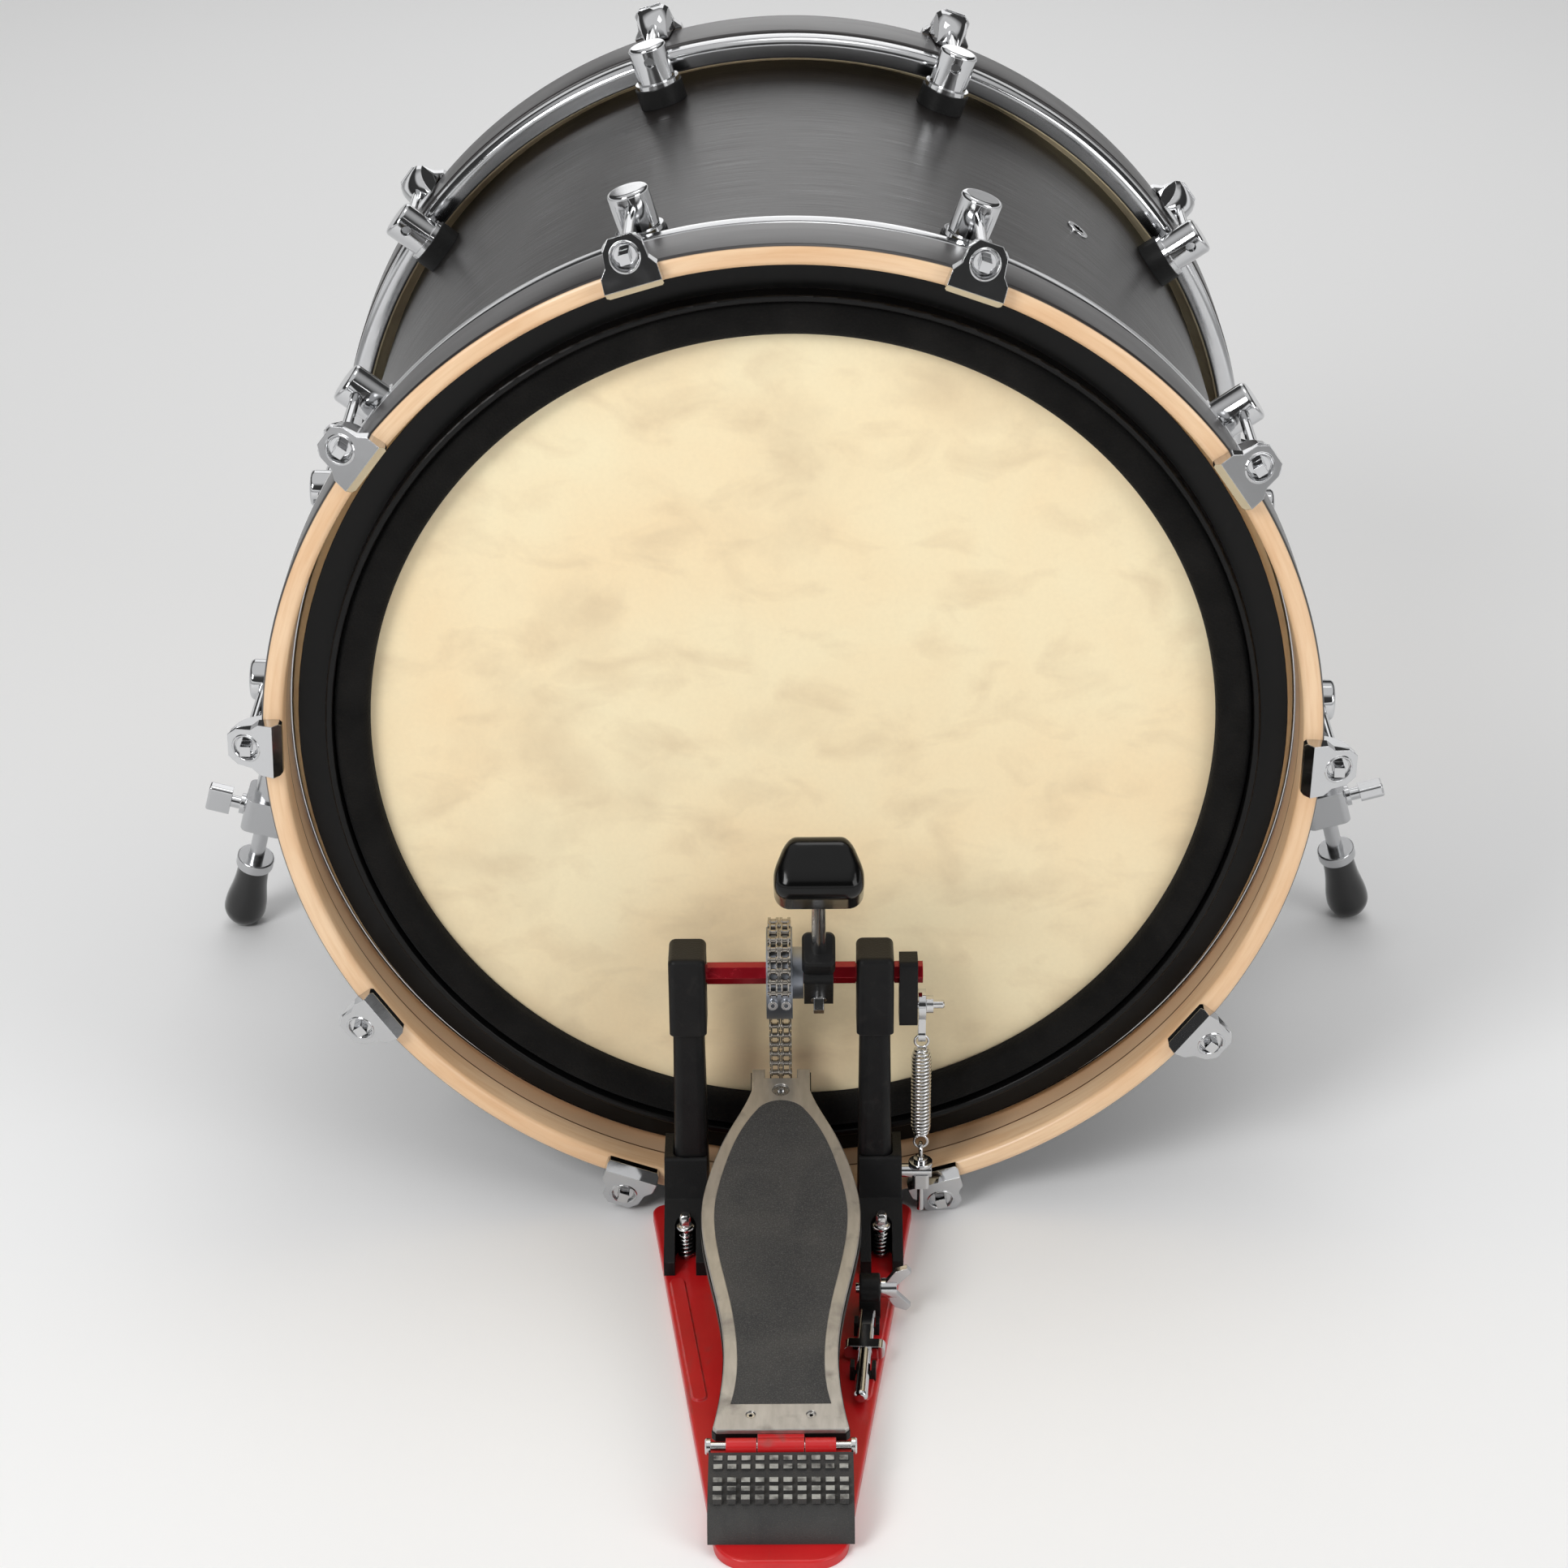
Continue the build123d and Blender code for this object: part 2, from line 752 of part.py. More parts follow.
# ---------------------------------------------------------------- spurs, one a side
spur_drop = sqrt(1 - spur_splay**2 - spur_rake**2)
foot_centre_at = (axis_height - spur_pivot_drop - spur_foot_r) / spur_drop
spur_nut_at = foot_centre_at - spur_nut_from_foot
nut_end = spur_nut_at + spur_nut_thick
spur_clamp_end = spur_nut_at - spur_clamp_gap
spur_tube_end = spur_clamp_end - spur_clamp_length
spur_rod_start = spur_tube_end - spur_rod_in
spur_pivot_x = shell_r + spur_stand
spur_brackets, spur_pins = [], []
for side, name, key_turn in ((-1, "left", left_key_turn), (1, "right", right_key_turn)):
    pivot = Vector(side * spur_pivot_x, drum_y + spur_pivot_y, axis_height - spur_pivot_drop)
    along = Vector(side * spur_splay, spur_rake, -spur_drop)
    # the fold pin lies across the leg, square to the leg and level with the drum's end view
    out = Vector(side * spur_drop, 0, spur_splay).normalized()
    leg_plane = Plane(pivot, x_dir=out, z_dir=along)
    pin_plane = Plane(pivot, x_dir=along, z_dir=out)
    key_plane = Plane(pivot + along * (spur_tube_end + spur_clamp_end) / 2, x_dir=along, z_dir=out)

    # the bracket's stem runs straight in from the fold pin until it meets the shell
    stem = Vector(pivot.X, 0, -spur_pivot_drop)
    stem_length = stem.dot(out) - sqrt(stem.dot(out) ** 2 - stem.length**2 + shell_r**2)
    base_out = (stem - out * stem_length).normalized()
    base_centre = Vector(0, pivot.Y, axis_height)
    with BuildPart() as spur_bracket:
        with BuildSketch(pin_plane.offset(-spur_eye_width / 2 - spur_gap)):
            Circle(spur_bracket_r)
        extrude(amount=-stem_length, taper=-spur_bracket_flare)
        with BuildSketch(Plane(base_centre, x_dir=(0, 1, 0), z_dir=base_out).offset(shell_r - spur_base_sink)):
            Circle(spur_base_r)
        extrude(amount=spur_base_sink + spur_base_thick)
        with BuildSketch(Plane(base_centre, x_dir=(1, 0, 0), z_dir=(0, 1, 0))):
            Circle(shell_r)
        extrude(amount=2 * spur_base_r, both=True, mode=Mode.SUBTRACT)
        with BuildSketch(pin_plane):
            Circle(spur_pin_r)
        extrude(amount=-spur_pin_depth, mode=Mode.SUBTRACT)
    spur_brackets.append(spur_bracket)

    with BuildPart() as spur_pin:
        with BuildSketch(pin_plane.offset(1 - spur_pin_depth)):
            Circle(spur_pin_r)
        extrude(amount=spur_pin_depth - 1 + spur_eye_width / 2 + spur_gap)
        with BuildSketch(pin_plane.offset(spur_eye_width / 2 + spur_gap)):
            Circle(spur_pin_head_r)
        extrude(amount=spur_pin_head)
        fillet(spur_pin.faces().sort_by(Axis(pivot, out))[-1].edges(), spur_pin_round)
    spur_pins.append(spur_pin)

    with BuildPart() as spur_tube:
        with BuildSketch(leg_plane.offset(spur_bracket_r + 0.5)):
            Circle(spur_tube_r)
        extrude(amount=spur_tube_end - spur_bracket_r - 0.5)
        with BuildSketch(pin_plane):
            Circle(spur_eye_r)
        extrude(amount=spur_eye_width / 2, both=True)
        with BuildSketch(leg_plane.offset(spur_rod_start - spur_tube_bore)):
            Circle(spur_rod_r + spur_fit)
        extrude(amount=spur_tube_end, mode=Mode.SUBTRACT)
        with BuildSketch(pin_plane):
            Circle(spur_pin_r + spur_fit)
        extrude(amount=spur_eye_width, both=True, mode=Mode.SUBTRACT)
    save(spur_tube, f"{name}_spur_tube")

    with BuildPart() as spur_clamp:
        with BuildSketch(leg_plane.offset(spur_tube_end)):
            RectangleRounded(spur_clamp_size, spur_clamp_depth, spur_clamp_corner)
        extrude(amount=spur_clamp_end - spur_tube_end)
        with BuildSketch(leg_plane.offset(spur_tube_end)):
            Circle(spur_rod_r + spur_fit)
        extrude(amount=spur_clamp_end, mode=Mode.SUBTRACT)
        with BuildSketch(key_plane):
            Circle(tbolt_r + spur_fit)
        extrude(amount=spur_clamp_size, mode=Mode.SUBTRACT)
    save(spur_clamp, f"{name}_spur_clamp")

    with BuildPart() as spur_rod:
        with BuildSketch(leg_plane.offset(spur_rod_start)):
            Circle(spur_rod_r)
        extrude(amount=nut_end + spur_rod_past - spur_rod_start)
        with BuildSketch(leg_plane.offset(nut_end + spur_rod_past)):
            Circle(spur_tip_r)
        extrude(amount=spur_tip, taper=spur_tip_taper)
    save(spur_rod, f"{name}_spur_rod")

    with BuildPart() as spur_nut:
        with BuildSketch(leg_plane.offset(spur_nut_at)):
            Circle(spur_nut_r)
            Circle(spur_rod_r, mode=Mode.SUBTRACT)
        extrude(amount=spur_nut_thick)
        fillet(spur_nut.edges().filter_by(GeomType.CIRCLE).group_by(SortBy.RADIUS)[-1], spur_nut_round)
    save(spur_nut, f"{name}_spur_lock_nut")

    # bell-shaped foot, turned about the leg: neck under the nut, round sole on the floor
    with BuildPart() as spur_foot:
        foot_plane = Plane(pivot, x_dir=out, z_dir=out.cross(along))
        neck_at = nut_end + spur_gap
        with BuildSketch(foot_plane):
            with BuildLine():
                Line((0, neck_at), (spur_foot_neck_r, neck_at))
                Spline(
                    (spur_foot_neck_r, neck_at),
                    (spur_foot_neck_r + spur_foot_swell, (neck_at + foot_centre_at) / 2),
                    (spur_foot_r, foot_centre_at),
                    tangents=((0, 1), (0, 1)),
                )
                RadiusArc((spur_foot_r, foot_centre_at), (0, foot_centre_at + spur_foot_r), -spur_foot_r)
                Line((0, foot_centre_at + spur_foot_r), (0, neck_at))
            make_face()
        revolve(axis=Axis(pivot, along))
        with BuildSketch(leg_plane.offset(neck_at)):
            Circle(spur_rod_r + spur_fit)
        extrude(amount=nut_end + spur_foot_bore - neck_at, mode=Mode.SUBTRACT)
    save(spur_foot, f"{name}_spur_foot")

    with BuildPart() as spur_key:
        seat = spur_clamp_size / 2 + spur_gap
        with BuildSketch(key_plane.offset(spur_rod_r + spur_gap)):
            Circle(tbolt_r)
        extrude(amount=seat)
        with BuildSketch(key_plane.offset(seat)):
            Circle(tbolt_flange_r)
        extrude(amount=tbolt_flange)
        with BuildSketch(key_plane.offset(seat)):
            Circle(tbolt_neck_r)
        extrude(amount=tbolt_flange + tbolt_neck)
        with BuildSketch(key_plane.offset(seat + tbolt_flange + tbolt_neck)):
            RectangleRounded(tbolt_head_width, tbolt_head_thick, tbolt_corner, rotation=key_turn)
        extrude(amount=tbolt_head)
        fillet(spur_key.faces().sort_by(Axis(pivot, out))[-1].edges(), tbolt_round)
    save(spur_key, f"{name}_spur_key_bolt")
save_group(spur_brackets, "spur_brackets")
save_group(spur_pins, "spur_pins")

# ---------------------------------------------------------------- pedal: base plate and heel
heel_y = row_y(heel_reach)
front_y = row_y(hoop_front + base_gap)
hinge_y = row_y(hinge_from_middle)
post_y = row_y(post_from_middle)
left_post_x = pedal_x - post_spacing / 2 + 1
right_post_x = left_post_x + post_spacing
with BuildPart() as base_plate:
    with BuildSketch(Plane.XY) as base_outline:
        with BuildLine():
            Polyline(
                (pedal_x - base_heel_width / 2, heel_y),
                (pedal_x + base_heel_width / 2, heel_y),
                (pedal_x + base_front_width / 2, front_y),
                (pedal_x - base_front_width / 2, front_y),
                close=True,
            )
        make_face()
        fillet(base_outline.vertices().sort_by(Axis.Y)[:2], base_corner_r)
        fillet(base_outline.vertices().sort_by(Axis.Y)[-2:], base_front_corner_r)
    extrude(amount=base_thick)
    fillet(base_plate.faces().sort_by(Axis.Z)[-1].edges(), base_round)
    # two embossed ribs, one beside each edge of the footboard
    edge_lean = degrees(asin((base_front_width - base_heel_width) / 2 / (front_y - heel_y)))
    with BuildSketch(Plane.XY.offset(base_thick)):
        for way in (-1, 1):
            with Locations((pedal_x + way * rib_out, row_y(hoop_front + rib_from_hoop))):
                SlotOverall(rib_length, rib_width, rotation=90 - way * edge_lean)
    extrude(amount=rib_height, taper=rib_taper)
    with BuildSketch(Plane((pedal_x, front_y, 0), x_dir=(1, 0, 0), z_dir=(0, 0, 1))):
        with Locations((0, (lip_length - lip_root) / 2)):
            Rectangle(lip_width, lip_length + lip_root)
    extrude(amount=axis_height - hoop_r - lip_clear)
save(base_plate, "base_plate")

knuckle_row = knuckle_middle / 2 + knuckle_gap
with BuildPart() as heel_hinge:
    hinge_plane = Plane((pedal_x, hinge_y, hinge_height), x_dir=(0, 1, 0), z_dir=(1, 0, 0))
    for way in (-1, 1):
        start = hinge_plane.offset(knuckle_row) if way > 0 else hinge_plane.offset(-knuckle_row - knuckle_side)
        with BuildSketch(start):
            Circle(knuckle_r)
            with BuildLine():
                Polyline(
                    (-knuckle_r, 0),
                    (knuckle_r, 0),
                    (knuckle_r + 2, base_thick - hinge_height),
                    (-knuckle_r, base_thick - hinge_height),
                    close=True,
                )
            make_face()
            Circle(hinge_pin_r, mode=Mode.SUBTRACT)
        extrude(amount=knuckle_side)
save(heel_hinge, "heel_hinge")

board_plane = Plane(
    (pedal_x, hinge_y, hinge_height),
    x_dir=(1, 0, 0),
    z_dir=(0, -sin(radians(board_slope)), cos(radians(board_slope))),
)
board_side = Plane(board_plane.origin, x_dir=board_plane.y_dir, z_dir=(1, 0, 0))
with BuildPart() as hinge_tongue:
    with BuildSketch(board_side):
        Circle(knuckle_r)
        with BuildLine():
            Polyline((0, -2), (board_heel, -2), (board_heel, 3), (0, 3), close=True)
        make_face()
        Circle(hinge_pin_r + pin_fit, mode=Mode.SUBTRACT)
    extrude(amount=knuckle_middle / 2, both=True)
save(hinge_tongue, "hinge_tongue")

pin_half = heel_plate_width / 2 + 2
with BuildPart() as hinge_pin:
    with BuildSketch(hinge_plane):
        Circle(hinge_pin_r)
    extrude(amount=pin_half, both=True)
    for way in (-1, 1):
        with BuildSketch(hinge_plane.offset(way * pin_half)):
            Circle(knuckle_r)
        extrude(amount=-way * knuckle_cap)
    chamfer(hinge_pin.faces().filter_by(Axis.X).group_by(Axis.X)[0].edges(), pin_chamfer)
    chamfer(hinge_pin.faces().filter_by(Axis.X).group_by(Axis.X)[-1].edges(), pin_chamfer)

heel_side = Plane((pedal_x, 0, 0), x_dir=(0, 1, 0), z_dir=(1, 0, 0))
heel_front_y = hinge_y - knuckle_r - heel_step
heel_end_y = row_y(heel_plate_end)
heel_crown = hinge_height - heel_pad_thick
bend = (heel_end_y + heel_bend, heel_crown - heel_bend_drop)
tip = (heel_end_y + heel_tip, heel_crown - heel_tip_drop)
plate_end = (heel_end_y + 2 * heel_pad_lap, base_thick)
pad_bend = (heel_end_y + heel_pad_bend, hinge_height - heel_bend_drop)
pad_tip = (heel_end_y + heel_pad_tip, heel_crown - heel_pad_tip_drop)
pad_end = (heel_end_y - heel_pad_lap, base_thick)
with BuildPart() as heel_plate:
    with BuildSketch(heel_side):
        with BuildLine():
            Line((heel_front_y, base_thick), (heel_front_y, heel_crown))
            Line((heel_front_y, heel_crown), bend)
            ThreePointArc(bend, tip, plate_end)
            Line(plate_end, (heel_front_y, base_thick))
        make_face()
    extrude(amount=heel_plate_width / 2 - heel_pad_lap, both=True)
save(heel_plate, "heel_plate")

with BuildPart() as heel_pad:
    with BuildSketch(heel_side):
        with BuildLine():
            Line((heel_front_y, heel_crown), (heel_front_y, heel_crown + heel_pad_thick))
            Line((heel_front_y, heel_crown + heel_pad_thick), pad_bend)
            ThreePointArc(pad_bend, pad_tip, pad_end)
            Line(pad_end, plate_end)
            ThreePointArc(plate_end, tip, bend)
            Line(bend, (heel_front_y, heel_crown))
        make_face()
    extrude(amount=heel_plate_width / 2, both=True)
    with BuildSketch(Plane.XY.offset(hinge_height - heel_bend_drop)):
        for row in stud_rows:
            with Locations((pedal_x, heel_front_y - row)):
                with GridLocations(stud_pitch, stud_pitch, stud_count, 1):
                    Rectangle(stud_size, stud_depth)
    extrude(amount=heel_bend_drop + stud_height - stud_sink)
save(heel_pad, "heel_pad")

# ---------------------------------------------------------------- pedal: footboard
waist_at, wide_at, neck_at_board, toe_root = 62.0, 175.0, 260.0, 270.0
outline_step = 2.0        # the heel end's corners, in from the first point
frame_windows = ((50.0, 46.0, 50.0, 6.0), (110.0, 46.0, 50.0, 6.0), (178.0, 66.0, 66.0, 12.0))
pad_heel, pad_toe, pad_arch = (27.0, 24.5), ((23.5, 235.0), (13.0, 254.5)), 261.0
outline_half = [
    (37.0, board_heel + outline_step),
    (34.8, 20.0),
    (32.8, 36.0),
    (board_waist_width / 2, waist_at),
    (36.2, 101.0),
    (41.4, 128.0),
    (board_wide_width / 2, wide_at),
    (41.0, 203.0),
    (32.5, 232.0),
    (20.9, neck_at_board),
    (board_toe_width / 2, toe_root),
]


def board_outline(inset=0.0):
    """Footboard's outline on the board's plane, as a waisted leaf with a square toe."""
    right = [(x - inset, y) for x, y in outline_half]
    left = [(-x, y) for x, y in reversed(right)]
    Spline(*right)
    Line(right[-1], (right[-1][0], board_toe))
    Line((right[-1][0], board_toe), (left[0][0], board_toe))
    Line((left[0][0], board_toe), left[0])
    Spline(*left)
    Line(left[-1], (left[-1][0] + outline_step, board_heel))
    Line((left[-1][0] + outline_step, board_heel), (right[0][0] - outline_step, board_heel))
    Line((right[0][0] - outline_step, board_heel), right[0])


def pad_outline():
    """Grit pad's outline: the board's, drawn in by its border, with an arched toe end."""
    right = [pad_heel] + [(x - pad_border, y) for x, y in outline_half[2:8]] + list(pad_toe)
    left = [(-x, y) for x, y in reversed(right)]
    Spline(*right)
    ThreePointArc(right[-1], (0, pad_arch), left[0])
    Spline(*left)
    Line(left[-1], right[0])


frame_top = board_top - board_plate
with BuildPart() as footboard:
    with BuildSketch(board_plane.offset(frame_top)):
        with BuildLine():
            board_outline(plate_inset)
        make_face()
        with Locations((0, board_toe)):
            Rectangle(notch_width, 2 * notch_depth, mode=Mode.SUBTRACT)
    extrude(amount=board_plate)
    chamfer(footboard.faces().sort_by(Axis(board_plane.origin, board_plane.z_dir))[-1].edges(), plate_chamfer)
    with BuildSketch(board_plane.offset(board_top - pad_depth)):
        with BuildLine():
            pad_outline()
        make_face()
    extrude(amount=board_plate, mode=Mode.SUBTRACT)
    with BuildSketch(board_plane.offset(frame_top)):
        with Locations((0, toe_root)):
            Circle(toe_screw_seat_r)
        with Locations((-board_screw_x, board_screw_at), (board_screw_x, board_screw_at)):
            Circle(board_screw_r + board_screw_clear)
    extrude(amount=board_plate + 1, mode=Mode.SUBTRACT)
save(footboard, "footboard")

with BuildPart() as footboard_pad:
    with BuildSketch(board_plane.offset(board_top - pad_depth)):
        with BuildLine():
            pad_outline()
        make_face()
    extrude(amount=pad_depth + pad_proud)
save(footboard_pad, "footboard_pad")

with BuildPart() as footboard_frame:
    with BuildSketch(board_plane.offset(frame_top - board_frame)):
        with BuildLine():
            board_outline()
        make_face()
        with Locations((0, board_toe)):
            Rectangle(notch_width, 2 * frame_notch_depth, mode=Mode.SUBTRACT)
    extrude(amount=board_frame)
    # relieved underneath, leaving a rim and three cross ribs
    with BuildSketch(board_plane.offset(frame_top - board_frame)):
        for middle, width, length, corner in frame_windows:
            with Locations((0, middle)):
                RectangleRounded(width, length, corner)
    extrude(amount=board_frame - frame_floor, mode=Mode.SUBTRACT)
    with BuildSketch(board_plane.offset(frame_top - frame_floor)):
        with Locations((0, toe_root)):
            Circle(toe_shank_r + toe_shank_clear)
    extrude(amount=frame_floor + 1, mode=Mode.SUBTRACT)
    # boss under the toe, which the chain's end is bolted to
    with BuildSketch(board_plane.offset(frame_top - board_frame)):
        with Locations((0, board_toe - frame_notch_depth - toe_boss_from_notch)):
            RectangleRounded(notch_width, toe_boss_length, toe_boss_corner)
    extrude(amount=-toe_boss_drop)
save(footboard_frame, "footboard_frame")

with BuildPart() as footboard_screws:
    with BuildSketch(board_plane.offset(frame_top)):
        with Locations((0, toe_root)):
            Circle(toe_screw_r)
            RegularPolygon(toe_hex_r, 6, mode=Mode.SUBTRACT)
        with Locations((-board_screw_x, board_screw_at), (board_screw_x, board_screw_at)):
            Circle(board_screw_r)
            RegularPolygon(board_hex_r, 6, mode=Mode.SUBTRACT)
    extrude(amount=board_plate - board_screw_sink)
    with BuildSketch(board_plane.offset(frame_top - frame_floor + toe_shank_clear)):
        with Locations((0, toe_root)):
            Circle(toe_shank_r)
    extrude(amount=frame_floor - toe_shank_clear)
save(footboard_screws, "footboard_screws")

# ---------------------------------------------------------------- pedal: posts, shaft and drive
shaft_plane = Plane((0, post_y, shaft_height), x_dir=(0, 1, 0), z_dir=(1, 0, 0))
housing_top = shaft_height + shaft_below_top
flat_r = shaft_across_flats / 2
posts, anchor_blocks = [], []
for x, way in ((left_post_x, 1), (right_post_x, -1)):
    foot_plane = Plane((x, post_y, base_thick), x_dir=(1, 0, 0), z_dir=(0, 0, 1))
    neck_plane = foot_plane.offset(housing_top - housing_height - base_thick)
    inner_face = shaft_plane.offset(x + way * housing_width / 2)
    with BuildPart() as post:
        with BuildSketch(foot_plane):
            RectangleRounded(post_width + post_flare, post_depth + 2 * post_flare, post_corner)
        with BuildSketch(neck_plane):
            RectangleRounded(post_width, post_depth, post_corner)
        loft()
        with BuildSketch(neck_plane):
            RectangleRounded(housing_width, housing_depth, housing_corner)
        extrude(amount=housing_height)
        fillet(post.faces().sort_by(Axis.Z)[-1].edges(), housing_round)
        # blind seat for the bearing, open towards the sprocket
        with BuildSketch(inner_face):
            Circle(bearing_r)
        extrude(amount=-way * (bearing_width + bearing_play), mode=Mode.SUBTRACT)
        with BuildSketch(inner_face):
            Circle(flat_r + bore_clear)
        through = housing_width - housing_web if way > 0 else housing_width + 1
        extrude(amount=-way * through, mode=Mode.SUBTRACT)
    posts.append(post)

    # cast block at the foot of the post, cut away to bare its floor screw
    foot_x = x - way * anchor_offset
    post_half = post_depth / 2 + anchor_wall
    foot_clear = post_flare + post_foot_clear
    with BuildPart() as anchor_block:
        with BuildSketch(Plane((foot_x, 0, 0), x_dir=(0, 1, 0), z_dir=(1, 0, 0))):
            with BuildLine():
                Polyline(
                    (row_y(anchor_foot), base_thick),
                    (row_y(anchor_foot), base_thick + anchor_toe),
                    (post_y - post_depth / 2 - anchor_reach, base_thick + anchor_height - anchor_step),
                    (post_y - post_half, base_thick + anchor_height),
                    (post_y + post_half, base_thick + anchor_height),
                    (post_y + post_half, base_thick),
                    close=True,
                )
            make_face()
        extrude(amount=anchor_width / 2, both=True)
        fillet(anchor_block.edges().filter_by(Axis.X).sort_by(Axis.Z)[-2:], anchor_round)
        with BuildSketch(Plane((x, post_y, 0), x_dir=(1, 0, 0), z_dir=(0, 0, 1))):
            RectangleRounded(post_width + foot_clear, post_depth + foot_clear + post_flare, post_corner)
        extrude(amount=base_thick + anchor_height + 1, mode=Mode.SUBTRACT)
        with BuildSketch(Plane((foot_x, row_y(anchor_screw_from_middle), base_thick))):
            Circle(anchor_pocket_r)
            with Locations((0, -anchor_pocket_reach / 2)):
                Rectangle(2 * anchor_pocket_r, anchor_pocket_reach)
        extrude(amount=anchor_height, mode=Mode.SUBTRACT)
    anchor_blocks.append(anchor_block)
save_group(posts, "posts")
save_group(anchor_blocks, "anchor_blocks")

with BuildPart() as anchor_screws:
    for foot_x in (left_post_x - anchor_offset, right_post_x + anchor_offset):
        spot = Plane((foot_x, row_y(anchor_screw_from_middle), base_thick))
        with BuildSketch(spot):
            Circle(anchor_screw_r)
        extrude(amount=anchor_screw_length)
        for turn in range(anchor_turns):
            with BuildSketch(spot.offset(anchor_turn_start + turn * anchor_turn_pitch)):
                Circle(anchor_turn_r)
            extrude(amount=anchor_turn_thick)
        with BuildSketch(spot.offset(anchor_nut_at)):
            Circle(anchor_nut_r)
        extrude(amount=anchor_nut)
        with BuildSketch(spot.offset(anchor_nut_at + anchor_nut)):
            RectangleRounded(anchor_square, anchor_square, anchor_square_corner)
        extrude(amount=anchor_square_height)
save(anchor_screws, "anchor_screws")

left_journal = left_post_x + housing_width / 2
right_journal = right_post_x - housing_width / 2
shaft_end = rocker_x + rocker_width / 2 + shaft_past
with BuildPart() as drive_shaft:
    with BuildSketch(shaft_plane.offset(left_journal + shaft_gap)):
        RegularPolygon(flat_r, 6, major_radius=False)
    extrude(amount=right_journal - left_journal - 2 * shaft_gap)
    with BuildSketch(shaft_plane.offset(left_journal - bearing_width - 4)):
        Circle(flat_r)
    extrude(amount=right_post_x + housing_width / 2 - left_journal + bearing_width + 5)
    with BuildSketch(shaft_plane.offset(right_post_x + housing_width / 2 + shaft_gap)):
        RegularPolygon(flat_r, 6, major_radius=False)
    extrude(amount=shaft_end - right_post_x - housing_width / 2 - shaft_gap)
save(drive_shaft, "drive_shaft")

with BuildPart() as shaft_bearings:
    for x, way in ((left_journal, -1), (right_journal, 1)):
        with BuildSketch(shaft_plane.offset(x + way * 1.0)):
            Circle(bearing_r)
            Circle(flat_r + pin_fit, mode=Mode.SUBTRACT)
        extrude(amount=way * bearing_width)
save(shaft_bearings, "shaft_bearings")

# the chain leaves the wheel half the swing above the level of the shaft, so that its run hangs
# almost straight over the whole swing
leave = radians(swing / 2)
leave_y = pitch_r * cos(leave)
leave_z = pitch_r * sin(leave)
wheel_r = pitch_r - chain_thick / 2
chain_x = pedal_x
with BuildPart() as sprocket:
    with BuildSketch(shaft_plane.offset(chain_x - chain_width / 2)):
        Circle(wheel_r)
        with Locations((leave_y, leave_z - wheel_slot_drop)):
            Rectangle(chain_thick + wheel_slot_clear, wheel_slot_height, mode=Mode.SUBTRACT)
    extrude(amount=chain_width)
    with BuildSketch(shaft_plane.offset(chain_x - chain_width / 2)):
        Circle(sprocket_boss_r)
    extrude(amount=beater_x - hub_width / 2 - chain_x + chain_width / 2 - chain_gap)
    with BuildSketch(shaft_plane.offset(chain_x)):
        RegularPolygon(flat_r + hex_fit, 6, major_radius=False)
    extrude(amount=60, both=True, mode=Mode.SUBTRACT)
    # two screws hold the chain's end on the player's side of the wheel
    end_screw_plane = Plane((chain_x, post_y, shaft_height), x_dir=(1, 0, 0), z_dir=(0, -1, 0))
    with BuildSketch(end_screw_plane.offset(wheel_r - end_screw_seat)):
        with Locations((-end_screw_x, -end_screw_drop), (end_screw_x, -end_screw_drop)):
            Circle(end_screw_r)
    extrude(amount=10, mode=Mode.SUBTRACT)
save(sprocket, "sprocket")

with BuildPart() as sprocket_chain:
    chain_start = swing / 2 + degrees((chain_thick / 2 + chain_gap) / pitch_r)
    chain_arc = chain_end_angle - chain_start
    with BuildSketch(shaft_plane.offset(chain_x - chain_width / 2)):
        with BuildLine():
            outer = CenterArc((0, 0), pitch_r + chain_thick / 2, chain_start, chain_arc)
            inner = CenterArc((0, 0), wheel_r, chain_start, chain_arc)
            Line(outer @ 0, inner @ 0)
            Line(outer @ 1, inner @ 1)
        make_face()
    extrude(amount=chain_width)
save(sprocket_chain, "sprocket_chain")

toe_under = board_plane.from_local_coords((0, board_toe - frame_notch_depth / 2, frame_top - board_frame))
with BuildPart() as chain_run:
    chain_low = toe_under.Z - shaft_height - 1
    with BuildSketch(shaft_plane.offset(chain_x - chain_width / 2)):
        with Locations((leave_y, leave_z)):
            Circle(chain_thick / 2)
        with Locations((leave_y, (leave_z + chain_low) / 2)):
            Rectangle(chain_thick, leave_z - chain_low)
    extrude(amount=chain_width)
save(chain_run, "chain_run")

